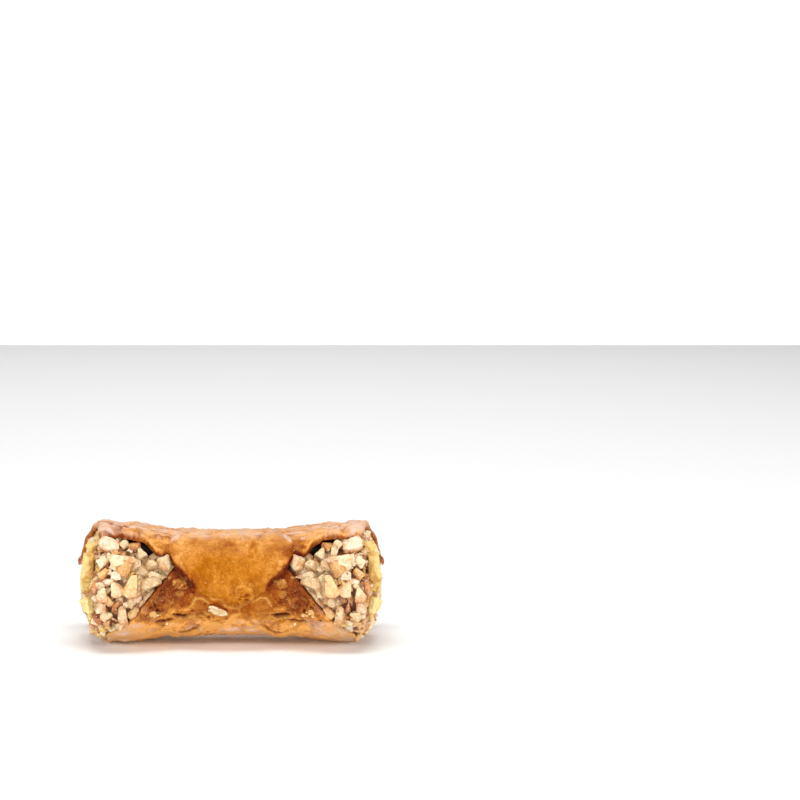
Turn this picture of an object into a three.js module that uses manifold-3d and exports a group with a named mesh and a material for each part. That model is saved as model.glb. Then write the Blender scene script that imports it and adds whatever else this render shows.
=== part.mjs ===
// A small filled cannolo: one sheet of fried dough wrapped into a flared tube, its upper flap lapped
// over the lower one at the front, and a cream filling whose two open ends are rolled in chopped hazelnuts.
//
// Units are millimetres and +Z is up. The tube's axis runs along X and the lap faces -Y.
// The origin is on the ground, under the middle of the pastry.
//
// "turn" is the angle round the tube's axis in degrees: 0 at the back of the lap, 90 over the top,
// 180 at the middle of the lap, and negative under the bottom. "rise" is the angle above the lap's
// middle, so an upper flap edge with a rise of 44 lies at a turn of 136.

import * as THREE from "three";
import { mergeVertices } from "three/addons/utils/BufferGeometryUtils.js";
import Module from "manifold-3d";

const { smoothstep, lerp, degToRad, radToDeg, seededRandom } = THREE.MathUtils;

// ---- Driving dimensions -------------------------------------------------------------------------

const LENGTH = 80; // rim to rim, at the back where the sheet is longest
const WAIST_RADIUS = 13.9; // outside, in the middle
const MOUTH_RADIUS = 16.0; // outside, at the flared ends
const FLARE = { from: 11, to: 29 }; // distances from the middle between which the tube widens
const CRUST = 1.8; // thickness of the fried sheet
const EDGE = { share: 0.6, width: 1.6 }; // share of the thickness left at a cut edge, and the taper's width
const SEALED_EDGE = { share: 0.3, width: 4.5, from: 4, to: 12 }; // the same on the upper flap's sealed tip
const CORNER_TRIM = 0.035; // share of the length that the rounding takes off a flap's corners
const SEAM_TILT = 12; // degrees that the lap is turned up from facing straight forward
const AXIS_HEIGHT = 15.55; // the crust is pressed flat where it would reach below the ground

// How far each flap reaches round the front, as a rise in degrees, from the middle to the tube's ends,
// then the distance from the middle to its corners and the turns over which the ends slant in to them.
const UPPER_FLAP = { middle: -23, end: 44, from: 2, to: 24.5, corner: 35.1, slant: [10, 95] };
const LOWER_FLAP = { middle: 40, end: -67, from: 5, to: 36, corner: 30.6, slant: [5, 125] };
const LAP_BITE = 0.25; // the flaps are sealed: each presses this far into the other
const LAP_TURNS = [95, 138]; // turns over which the flaps part, one outwards and one inwards

// Waves and blisters of the crust, each at both ends: height, then its half widths along and round.
const LUMPS = [
  { x: 33.2, turn: 84, height: 0.85, along: 2.2, round: 30 }, // thick roll of the upper rim
  { x: 28.7, turn: 92, height: -0.5, along: 1.7, round: 22 }, // valley behind the roll
  { x: 24.6, turn: 90, height: 0.55, along: 3.2, round: 24 }, // swell over the filling
  { x: 29.0, turn: -92, height: 0.35, along: 4.0, round: 24 }, // swell that the tube rests on
  { x: 18.6, turn: 202, height: 0.5, along: 3.4, round: 13 }, // large brown blister on the lower flap
  { x: 16.4, turn: 184, height: 0.4, along: 2.4, round: 9 }, // blister beside the upper flap's edge
  { x: 12.4, turn: 46, height: 0.5, along: 3.6, round: 16 }, // blisters of the back
  { x: 26.5, turn: 18, height: 0.45, along: 3.2, round: 15 },
  { x: 22.0, turn: -38, height: 0.5, along: 3.0, round: 14 },
  { x: 5.6, turn: -12, height: 0.55, along: 3.8, round: 17 },
  { x: 8.5, turn: -66, height: 0.4, along: 3.2, round: 14 },
];
const ROLLING_WAVES = { count: 7, height: 0.16, seed: 11 }; // gentle unevenness of the whole sheet

const SHEET_CELLS = { along: 36, round: 16 }; // grid of each half of the sheet

// Pale flakes of peeled crust that lie on the lower flap: place, size and direction.
const FLAKES = [
  { x: -3.1, rise: -25, long: 3.8, wide: 2.0, heading: -25 },
  { x: -21.2, rise: -31, long: 2.6, wide: 1.8, heading: 10 },
  { x: 21.2, rise: -31, long: 2.6, wide: 1.8, heading: -10 },
];

const FILLING_GAP = 0.4; // clear of the crust's inner wall
const FILLING_END = 37.4; // the filling's bare end, from the middle
const FILLING_DOME = 4.4; // how far that end bulges
const BULGE = { height: 1.9, over: [0.6, 3.2] }; // swell between the flaps, and the width that it rises over
const CORE_CELLS = { round: 26, dome: 5, barrel: 9 };

// Chopped hazelnuts on each open end, the largest first.
const NUTS = { seed: 8, count: 51, largest: 5.6, smallest: 3.3, spacing: 0.76, tries: 9000 };
const NUTS_OFF_GROUND = 0.7; // lowest point of any nut
const CHIP = { radius: 0.62, flat: 0.66, narrow: 0.8, rough: 0.22, raised: 0.1 }; // shares of a nut's size
const NUT_CLEARANCE = 0.3; // between the nuts and the crust

const SMALLEST_STEP = 0.01; // joins and cuts leave slivers, and those thinner than this are closed up

const DOUGH_COLOUR = 0xcf8434;
const NUT_COLOUR = 0xe6c894;

// ---- Solids -------------------------------------------------------------------------------------

const wasm = await Module();
wasm.setup();

// A closed geometry as a solid, with its shared vertices merged and collapsed triangles left out.
function solidOf(geometry) {
  const bare = new THREE.BufferGeometry();
  bare.setAttribute("position", geometry.getAttribute("position"));
  bare.setIndex(geometry.getIndex());
  const merged = mergeVertices(bare, 1e-4);
  const triangles = [];
  const index = merged.getIndex().array;
  for (let i = 0; i < index.length; i += 3) {
    const [a, b, c] = [index[i], index[i + 1], index[i + 2]];
    if (a !== b && b !== c && c !== a) triangles.push(a, b, c);
  }
  return new wasm.Manifold(
    new wasm.Mesh({
      numProp: 3,
      vertProperties: new Float32Array(merged.getAttribute("position").array),
      triVerts: new Uint32Array(triangles),
    }),
  );
}

// A solid as a geometry for a mesh.
function geometryOf(solid) {
  const { vertProperties, triVerts } = solid.getMesh();
  const geometry = new THREE.BufferGeometry();
  geometry.setAttribute("position", new THREE.BufferAttribute(vertProperties, 3));
  geometry.setIndex(new THREE.BufferAttribute(triVerts, 1));
  const faceted = geometry.toNonIndexed();
  faceted.computeVertexNormals();
  return faceted;
}

// The body of a solid that has the most volume, without loose scraps and slivers.
function tidyBody(solid) {
  const bodies = solid.simplify(SMALLEST_STEP).decompose();
  return bodies.reduce((best, body) => (body.volume() > best.volume() ? body : best));
}

// Calls move(point) on each vertex of a geometry, which changes the point in place.
function moveVertices(geometry, move) {
  const position = geometry.getAttribute("position");
  const point = new THREE.Vector3();
  for (let i = 0; i < position.count; i += 1) {
    move(point.fromBufferAttribute(position, i));
    position.setXYZ(i, point.x, point.y, point.z);
  }
  return geometry;
}

// ---- The tube's form ----------------------------------------------------------------------------

// The point at a distance along the axis, a turn and a radius.
function aroundAxis(x, turn, radius) {
  const angle = degToRad(turn - SEAM_TILT);
  return new THREE.Vector3(x, radius * Math.cos(angle), AXIS_HEIGHT + radius * Math.sin(angle));
}

function tubeRadius(x) {
  return lerp(WAIST_RADIUS, MOUTH_RADIUS, smoothstep(Math.abs(x), FLARE.from, FLARE.to));
}

// Length of the sheet from the middle to its end edge, which is longest at the back.
function endReach(turn) {
  const flap = turn > 0 ? UPPER_FLAP : LOWER_FLAP;
  return lerp(LENGTH / 2, flap.corner, smoothstep(Math.abs(turn), ...flap.slant));
}

// Rise of a flap's edge at a distance from the middle.
function flapRise(flap, x) {
  return lerp(flap.middle, flap.end, smoothstep(Math.abs(x), flap.from, flap.to));
}

// The flaps pass one over the other, so the upper one moves outwards and the lower one inwards.
function lapOffset(turn) {
  const step = ((CRUST - LAP_BITE) / 2) * smoothstep(Math.abs(turn), ...LAP_TURNS);
  return turn > 0 ? step : -step;
}

seededRandom(ROLLING_WAVES.seed);
const rollingWaves = Array.from({ length: ROLLING_WAVES.count }, () => ({
  along: lerp(0.1, 0.42, seededRandom()),
  round: lerp(-0.09, 0.09, seededRandom()),
  phase: seededRandom() * 2 * Math.PI,
}));

// Height of the crust's waves and blisters above its smooth form.
function relief(x, turn) {
  let height = 0;
  for (const wave of rollingWaves) {
    height += ROLLING_WAVES.height * Math.sin(wave.along * x + wave.round * turn + wave.phase);
  }
  const wrapped = turn < -100 ? turn + 360 : turn; // the lower flap's lumps are named by turns over 180
  for (const lump of LUMPS) {
    const onUpper = turn > 0 && lump.turn > 150;
    const near = lump.turn > 150 ? wrapped : turn;
    const u = (Math.abs(x) - lump.x) / lump.along;
    const v = (near - lump.turn) / lump.round;
    if (!onUpper) height += lump.height * Math.exp(-u * u - v * v);
  }
  return height;
}

// Share, from 0 to 1, of a point on the lower half that the upper flap covers: it stays smooth there.
function lapped(side, x, turn) {
  const underBy = degToRad(-180 - turn - flapRise(UPPER_FLAP, x)) * tubeRadius(x);
  return side < 0 ? smoothstep(underBy, -1.5, 0.5) : 0;
}

// Half of the wrapped sheet as a solid: side 1 is the upper half and side -1 the lower one.
// grow makes it thicker and wider all round, for cutting its neighbours clear of it.
function wrappedHalf(side, grow) {
  const flap = side > 0 ? UPPER_FLAP : LOWER_FLAP;
  const sheet = new THREE.BoxGeometry(2, 2, 2, SHEET_CELLS.along, SHEET_CELLS.round, 1);
  return solidOf(
    moveVertices(sheet, (point) => {
      const across = point.x; // -1 to 1 from end to end
      const reach = (point.y * side + 1) / 2; // 0 at the back to 1 at the flap's edge
      const outer = point.z < 0;
      const edgeX = across * flap.corner;
      const growTurn = radToDeg(grow / tubeRadius(edgeX));
      const edgeTurn = 180 - side * flapRise(flap, edgeX) + growTurn;
      const turn = side * reach * edgeTurn;
      const trimmed = 1 - CORNER_TRIM * Math.abs(across) ** 8 * reach ** 12;
      const x = across * (endReach(turn) + grow) * trimmed;
      // The edge is thinner than the sheet, and the sealed tip of the upper flap is thinner still.
      const fromEnd = (1 - Math.abs(across)) * endReach(turn);
      const fromFlapEdge = (1 - reach) * degToRad(edgeTurn) * tubeRadius(x);
      const sealed = side > 0 ? 1 - smoothstep(Math.abs(x), SEALED_EDGE.from, SEALED_EDGE.to) : 0;
      const taper = smoothstep(Math.min(fromEnd, fromFlapEdge), 0, lerp(EDGE.width, SEALED_EDGE.width, sealed));
      const share = lerp(lerp(EDGE.share, SEALED_EDGE.share, sealed), 1, taper);
      const middle = tubeRadius(x) - CRUST / 2 + lapOffset(turn);
      const lift = outer ? relief(x, turn) * (1 - lapped(side, x, turn)) : 0;
      const outside = middle + (CRUST / 2) * share + lift + grow;
      const inside = middle - CRUST / 2 - grow;
      point.copy(aroundAxis(x, turn, outer ? outside : inside));
      if (grow === 0) point.z = Math.max(point.z, 0);
    }),
  );
}

function wrappedSheet(grow) {
  return wrappedHalf(1, grow).add(wrappedHalf(-1, grow));
}

// ---- The crust ----------------------------------------------------------------------------------

// A thin irregular chip, set into the lower flap's outer face.
function flake({ x, rise, long, wide, heading }) {
  const chip = new THREE.CylinderGeometry(0.5, 0.42, 0.7, 7, 1);
  moveVertices(chip, (point) => {
    const uneven = 1 + 0.22 * Math.sin(5 * Math.atan2(point.z, point.x) + x);
    point.set(point.x * long * uneven, point.y, point.z * wide * uneven);
  });
  const turn = rise - 180; // on the lower flap
  const radius = tubeRadius(x) + lapOffset(turn) + relief(x, turn);
  const outward = aroundAxis(x, -180 - rise, 1).sub(aroundAxis(x, -180 - rise, 0));
  chip.rotateY(degToRad(heading));
  chip.applyQuaternion(new THREE.Quaternion().setFromUnitVectors(new THREE.Vector3(0, 1, 0), outward));
  const place = aroundAxis(x, -180 - rise, radius + 0.1);
  return solidOf(chip.translate(place.x, place.y, place.z));
}

const crust = tidyBody(FLAKES.reduce((solid, place) => solid.add(flake(place)), wrappedSheet(0)));

// ---- The filling --------------------------------------------------------------------------------

// Distance, in millimetres, that a point of the tube's surface lies inside the open part of an end.
function openness(x, turn) {
  const wrapped = turn < 0 ? turn + 360 : turn;
  const rise = 180 - wrapped;
  const degree = degToRad(1) * tubeRadius(x);
  const belowUpper = (flapRise(UPPER_FLAP, x) - rise) * degree;
  const aboveLower = (rise - flapRise(LOWER_FLAP, Math.min(Math.abs(x), LOWER_FLAP.corner))) * degree;
  const pastEnd = Math.abs(x) - endReach(turn);
  return Math.max(pastEnd, 0.7 * Math.min(belowUpper, aboveLower));
}

// Radius of the bare filling: just inside the crust, and swollen out between the flaps.
function fillingRadius(x, turn) {
  const underCrust = tubeRadius(x) - CRUST - FILLING_GAP - Math.abs(lapOffset(turn));
  return underCrust + BULGE.height * smoothstep(openness(x, turn), ...BULGE.over);
}

// A point of the bare filling's skin. along runs from 0 at the tip of an end's dome, through 1 at
// the dome's edge, to 2 at the middle of the tube.
function fillingSkin(side, along, turn) {
  const share = Math.min(along, 1);
  const domeX = FILLING_END - FILLING_DOME * share ** 3;
  const x = side * lerp(domeX, 0, Math.max(along - 1, 0));
  return aroundAxis(x, turn, share * fillingRadius(x, turn));
}

// The bare filling, from a lathed barrel with domed ends.
function barrel() {
  const rows = [];
  for (let i = 0; i <= CORE_CELLS.dome; i += 1) rows.push(i / CORE_CELLS.dome);
  for (let i = 1; i < CORE_CELLS.barrel; i += 1) rows.push(1 + i / CORE_CELLS.barrel);
  const profile = [
    ...rows.map((along) => new THREE.Vector2(Math.min(along, 1), along - 2)),
    ...[2, ...rows.toReversed()].map((along) => new THREE.Vector2(Math.min(along, 1), 2 - along)),
  ];
  const lathe = new THREE.LatheGeometry(profile, CORE_CELLS.round);
  moveVertices(lathe, (point) => {
    const side = point.y < 0 ? -1 : 1;
    const turn = radToDeg(Math.atan2(point.x, point.z));
    point.copy(fillingSkin(side, 2 - Math.abs(point.y), turn));
  });
  const solid = solidOf(lathe);
  return solid.volume() > 0 ? solid : solidOf(facesTurned(lathe));
}

// The same geometry with its faces pointing the other way.
function facesTurned(geometry) {
  const index = geometry.getIndex().array.slice();
  for (let i = 0; i < index.length; i += 3) [index[i], index[i + 1]] = [index[i + 1], index[i]];
  return geometry.clone().setIndex(new THREE.BufferAttribute(index, 1));
}

// Places for the nuts of one end, spread over the skin that shows, each with a size and a normal.
function nutPlaces(side) {
  seededRandom(NUTS.seed);
  const places = [];
  for (let i = 0; i < NUTS.tries && places.length < NUTS.count; i += 1) {
    const size = lerp(NUTS.largest, NUTS.smallest, (places.length / NUTS.count) ** 0.6);
    // Tries change between the domed end and the opening between the flaps.
    const along = i % 2 === 0 ? Math.sqrt(seededRandom()) : lerp(1, 1.62, seededRandom());
    const turn = lerp(-180, 180, seededRandom());
    const at = fillingSkin(side, along, turn);
    if (along > 1 && openness(at.x, turn) < 0.5) continue;
    if (places.some((other) => other.at.distanceTo(at) < NUTS.spacing * 0.5 * (size + other.size))) continue;
    const ahead = fillingSkin(side, along + 0.04, turn).sub(fillingSkin(side, Math.max(along - 0.04, 0), turn));
    const beside = fillingSkin(side, along + 0.001, turn + 4).sub(fillingSkin(side, along + 0.001, turn - 4));
    const normal = ahead.cross(beside).normalize();
    if (normal.dot(at.clone().sub(aroundAxis(side * 20, 0, 0))) < 0) normal.negate();
    places.push({ at, size, normal, spin: seededRandom() * 2 * Math.PI });
  }
  return places;
}

// One chopped piece: a rough flattened chip with uneven corners, sunk a little into the cream.
function nut({ at, size, normal, spin }) {
  const chip = new THREE.IcosahedronGeometry(CHIP.radius, 0);
  moveVertices(chip, (point) => {
    const unevenness = Math.sin(23 * point.x + 31 * point.y + 17 * point.z + 5 * spin);
    point.multiplyScalar(size * (1 + CHIP.rough * unevenness));
    point.y *= CHIP.flat;
    point.z *= CHIP.narrow;
  });
  chip.rotateY(spin);
  chip.applyQuaternion(new THREE.Quaternion().setFromUnitVectors(new THREE.Vector3(0, 1, 0), normal));
  const place = at.clone().addScaledVector(normal, CHIP.raised * size);
  chip.translate(place.x, place.y, place.z);
  moveVertices(chip, (point) => point.setZ(Math.max(point.z, NUTS_OFF_GROUND)));
  return solidOf(chip);
}

const nuts = [-1, 1].flatMap(nutPlaces).map(nut);
const filling = tidyBody(
  nuts.reduce((solid, piece) => solid.add(piece), barrel()).subtract(wrappedSheet(NUT_CLEARANCE)),
);

// ---- The pastry ---------------------------------------------------------------------------------

function named(name, solid, color, roughness) {
  const material = new THREE.MeshStandardMaterial({ color, roughness, metalness: 0 });
  const mesh = new THREE.Mesh(geometryOf(solid), material);
  mesh.name = name;
  return mesh;
}

const cannolo = new THREE.Group();
cannolo.add(named("shell", crust, DOUGH_COLOUR, 0.55), named("filling", filling, NUT_COLOUR, 0.7));

// The middle of the whole goes over the origin, as the flared ends and the nuts aren't quite even.
const middle = new THREE.Box3().setFromObject(cannolo).getCenter(new THREE.Vector3());
for (const mesh of cannolo.children) mesh.geometry.translate(-middle.x, -middle.y, 0);

export default cannolo;
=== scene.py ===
# %% [markdown]
# # A small filled cannolo
# A cannolo is a sheet of dough wrapped round a metal tube, sealed where its flaps overlap, and fried. The
# shell comes off the tube blistered and brown, is filled with nut cream, and its two slanted mouths are
# pressed into chopped hazelnuts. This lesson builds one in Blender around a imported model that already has
# the right sizes: the shell first, then the cream, then every piece of nut, and last the finishes, the
# light and the camera.

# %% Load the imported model
import math

import bpy
import numpy as np
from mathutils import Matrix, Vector, noise


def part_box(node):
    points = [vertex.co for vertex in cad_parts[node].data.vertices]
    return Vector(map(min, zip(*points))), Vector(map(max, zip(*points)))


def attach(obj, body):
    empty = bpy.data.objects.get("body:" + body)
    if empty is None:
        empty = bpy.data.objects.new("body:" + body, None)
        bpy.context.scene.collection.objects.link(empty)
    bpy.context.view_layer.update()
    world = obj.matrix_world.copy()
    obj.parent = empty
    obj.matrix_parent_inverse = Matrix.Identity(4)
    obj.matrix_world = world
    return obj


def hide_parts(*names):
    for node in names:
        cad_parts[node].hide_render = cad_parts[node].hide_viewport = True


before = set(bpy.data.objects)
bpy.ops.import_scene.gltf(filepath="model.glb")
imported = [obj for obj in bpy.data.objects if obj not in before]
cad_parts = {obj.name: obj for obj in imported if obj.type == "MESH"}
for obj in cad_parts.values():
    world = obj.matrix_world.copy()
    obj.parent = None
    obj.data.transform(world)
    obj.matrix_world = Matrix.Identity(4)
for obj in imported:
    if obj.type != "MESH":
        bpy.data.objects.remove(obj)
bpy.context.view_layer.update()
shell_low, shell_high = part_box("shell")
print("packed nodes:", sorted(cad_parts))

# %% [markdown]
# ## The tube's sizes
# All sizes below are in millimetres, and a mesh is turned into Blender's metres when it is done. The form
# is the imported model's: a tube that flares towards its ends, with an upper flap lying over a lower one at
# the front. A turn is an angle round the tube's axis in degrees: 0 at the back, 90 over the top, 180 at the
# middle of the front, and negative under the bottom. A rise is the angle above the middle of the front.

# %% Driving sizes
# Of each flap: the rise of its edge at the middle and at the ends, where it widens between them, how far its
# corner reaches, the turns over which its end slants, and waves in its edge as place, width and height.
MM = 0.001
LENGTH = (shell_high.x - shell_low.x) / MM
AXIS_Y = 0.19
AXIS_HEIGHT = 15.55
WAIST_RADIUS = 13.9
MOUTH_RADIUS = 16.0
FLARE = (11, 29)
CRUST = 1.8
SEAM_TILT = 12
LAP_STEP = 0.775
LAP_TURNS = (95, 138)
UPPER_FLAP = {
    "middle": -24.5,
    "end": 46,
    "widens": (1.5, 26.5),
    "corner": 35.1,
    "slant": (30, 100),
    "waves": ((16.0, 1.4, 6.0), (19.3, 1.3, -3.6)),
}
LOWER_FLAP = {
    "middle": 40,
    "end": -67,
    "widens": (5, 36),
    "corner": 32.8,
    "slant": (5, 100),
    "waves": (),
}


# %% The tube's form as functions
def smoothstep(value, low, high):
    share = np.clip((value - low) / (high - low), 0.0, 1.0)
    return share * share * (3.0 - 2.0 * share)


def lerp(start, end, share):
    return start + (end - start) * share


def bell(distance, width):
    """1 at no distance, fading away to both sides over a width."""
    return np.exp(-((distance / width) ** 2))


def tube_radius(x):
    return lerp(WAIST_RADIUS, MOUTH_RADIUS, smoothstep(np.abs(x), *FLARE))


def flap_rise(flap, x):
    rise = lerp(flap["middle"], flap["end"], smoothstep(np.abs(x), *flap["widens"]))
    for far, wide, up in flap["waves"]:
        rise = rise + up * bell(np.abs(x) - far, wide)
    return rise


def end_reach(turn):
    upper = lerp(LENGTH / 2, UPPER_FLAP["corner"], smoothstep(turn, *UPPER_FLAP["slant"]))
    lower = lerp(LENGTH / 2, LOWER_FLAP["corner"], smoothstep(-turn, *LOWER_FLAP["slant"]))
    return np.where(turn > 0, upper, lower)


def lap_offset(turn):
    return np.sign(turn) * LAP_STEP * smoothstep(np.abs(turn), *LAP_TURNS)


def around_axis(x, turn, radius):
    angle = np.radians(turn - SEAM_TILT)
    return np.stack([x, AXIS_Y + radius * np.cos(angle), AXIS_HEIGHT + radius * np.sin(angle)], axis=-1)


# %% Places as they are seen from the front
def seen_turn(up, radius):
    """The turn of a point of the front, from how far it lies above the axis as seen straight on."""
    return 180.0 - np.degrees(np.arcsin(np.clip(up / radius, -1.0, 1.0)))


def sheet_radius(across, up):
    """The radius of the flap that a point of the front lies on, the upper or the lower one."""
    radius = float(tube_radius(across))
    turn = float(seen_turn(up, radius))
    edge = 180.0 - float(flap_rise(UPPER_FLAP, across))
    return radius + float(lap_offset(turn if turn < edge else turn - 360.0))


def sheet_turn(across, up):
    """The turn of a point of the front, on the flap that it lies on."""
    return float(seen_turn(up, sheet_radius(across, up)))


def unrolled(across, up):
    """Length along the unrolled front from its middle up to a point that is seen that far above the axis."""
    return math.radians(180.0 - sheet_turn(across, up)) * float(tube_radius(across))


print(f"the tube is {LENGTH:.1f} mm long and {2 * MOUTH_RADIUS:.0f} mm across its mouths")


# %% [markdown]
# ## Small helpers
# Each piece starts as one of Blender's primitives. Its points are then moved by a formula, which is the
# same as sculpting it by hand, only exact. Operators work on what is selected, so everything is deselected
# first.

# %% Helpers that add, move and finish a mesh
def only(*pieces):
    bpy.ops.object.select_all(action="DESELECT")
    for piece in pieces:
        piece.select_set(True)
    bpy.context.view_layer.objects.active = pieces[0]


def added(name):
    """The object that an operator has just added, with a name."""
    piece = bpy.context.view_layer.objects.active
    piece.name = piece.data.name = name
    return piece


def points_of(piece):
    flat = np.empty(len(piece.data.vertices) * 3)
    piece.data.vertices.foreach_get("co", flat)
    return flat.reshape(-1, 3)


def set_points(piece, points):
    piece.data.vertices.foreach_set("co", np.ascontiguousarray(points, dtype=np.float32).ravel())
    piece.data.update()


def set_mark(piece, name, values):
    """Stores one number for each point of a mesh, for its material to read."""
    layer = piece.data.attributes.get(name) or piece.data.attributes.new(name, "FLOAT", "POINT")
    layer.data.foreach_set("value", np.ascontiguousarray(values, dtype=np.float32))


def get_mark(piece, name):
    values = np.empty(len(piece.data.vertices), dtype=np.float32)
    piece.data.attributes[name].data.foreach_get("value", values)
    return values


def in_edit_mode(piece, *steps):
    only(piece)
    bpy.ops.object.mode_set(mode="EDIT")
    bpy.ops.mesh.select_all(action="SELECT")
    for step in steps:
        step()
    bpy.ops.object.mode_set(mode="OBJECT")


def apply_modifier(piece, kind, **settings):
    modifier = piece.modifiers.new(kind.title(), kind)
    for key, value in settings.items():
        setattr(modifier, key, value)
    only(piece)
    bpy.ops.object.modifier_apply(modifier=modifier.name)


def triangles_of(piece):
    return sum(len(face.vertices) - 2 for face in piece.data.polygons)


# %% Noise that roughens a surface
SCRAMBLE = Vector((12.99, 78.23, 37.72))
SCRAMBLE_SPREAD = 437.58


def roughness_at(points, size, seed, octaves=3):
    """Soft noise from about -1 to 1 at each point. size is the width of its waves in millimetres."""
    shift = Vector((seed * 17.3, seed * 5.1, seed * 9.7))
    return np.array([noise.fractal(Vector(p) / size + shift, 0.8, 2.1, octaves) for p in points])


def bubbles_at(points, size, share, seed):
    """Domes from 0 to 1, one in a share of the cells that noise cuts space into, each of its own width."""
    shift = Vector((seed * 3.7, seed * 8.9, seed * 2.3))
    height = np.zeros(len(points))
    for i, point in enumerate(points):
        distances, middles = noise.voronoi(Vector(point) / size + shift)
        chance = abs(math.sin(middles[0].dot(SCRAMBLE)) * SCRAMBLE_SPREAD) % 1.0
        if chance < share:
            height[i] = max(0.0, 1.0 - (distances[0] / (0.25 + 0.45 * chance / share)) ** 2)
    return height


# %% [markdown]
# ## What frying does to the dough
# Water in the dough turns to steam and lifts blisters of every size. Their thin tops brown first, the folds
# between them stay pale, and where a blister breaks it leaves a crack with a pale lip or a flake. The large
# marks below were placed one by one. Each has a place as seen from the front, in millimetres across from
# the middle and up from the axis, and half its width and height. The smaller blisters are scattered
# afterwards. Marks listed once for each end are mirrored, because the two ends were rolled alike.

# %% Marks of each end
# toast, pale, hollow and the pinkish sheen colour a mark. The sheen is painted light: a painted highlight on
# the ridge and painted floor light underneath. hollow is partly scorched dough and partly painted shadow, and
# pale above 1 is a painted white glint. ring and rim colour its edge, rough its top, and tilt turns it.
def mark_at(across, above, wide, high, lift, **looks):
    """A mark's place, half its width and height, how far it stands up, and its looks."""
    return dict(at=(across, above), size=(wide, high), up=lift, **looks)


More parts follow.
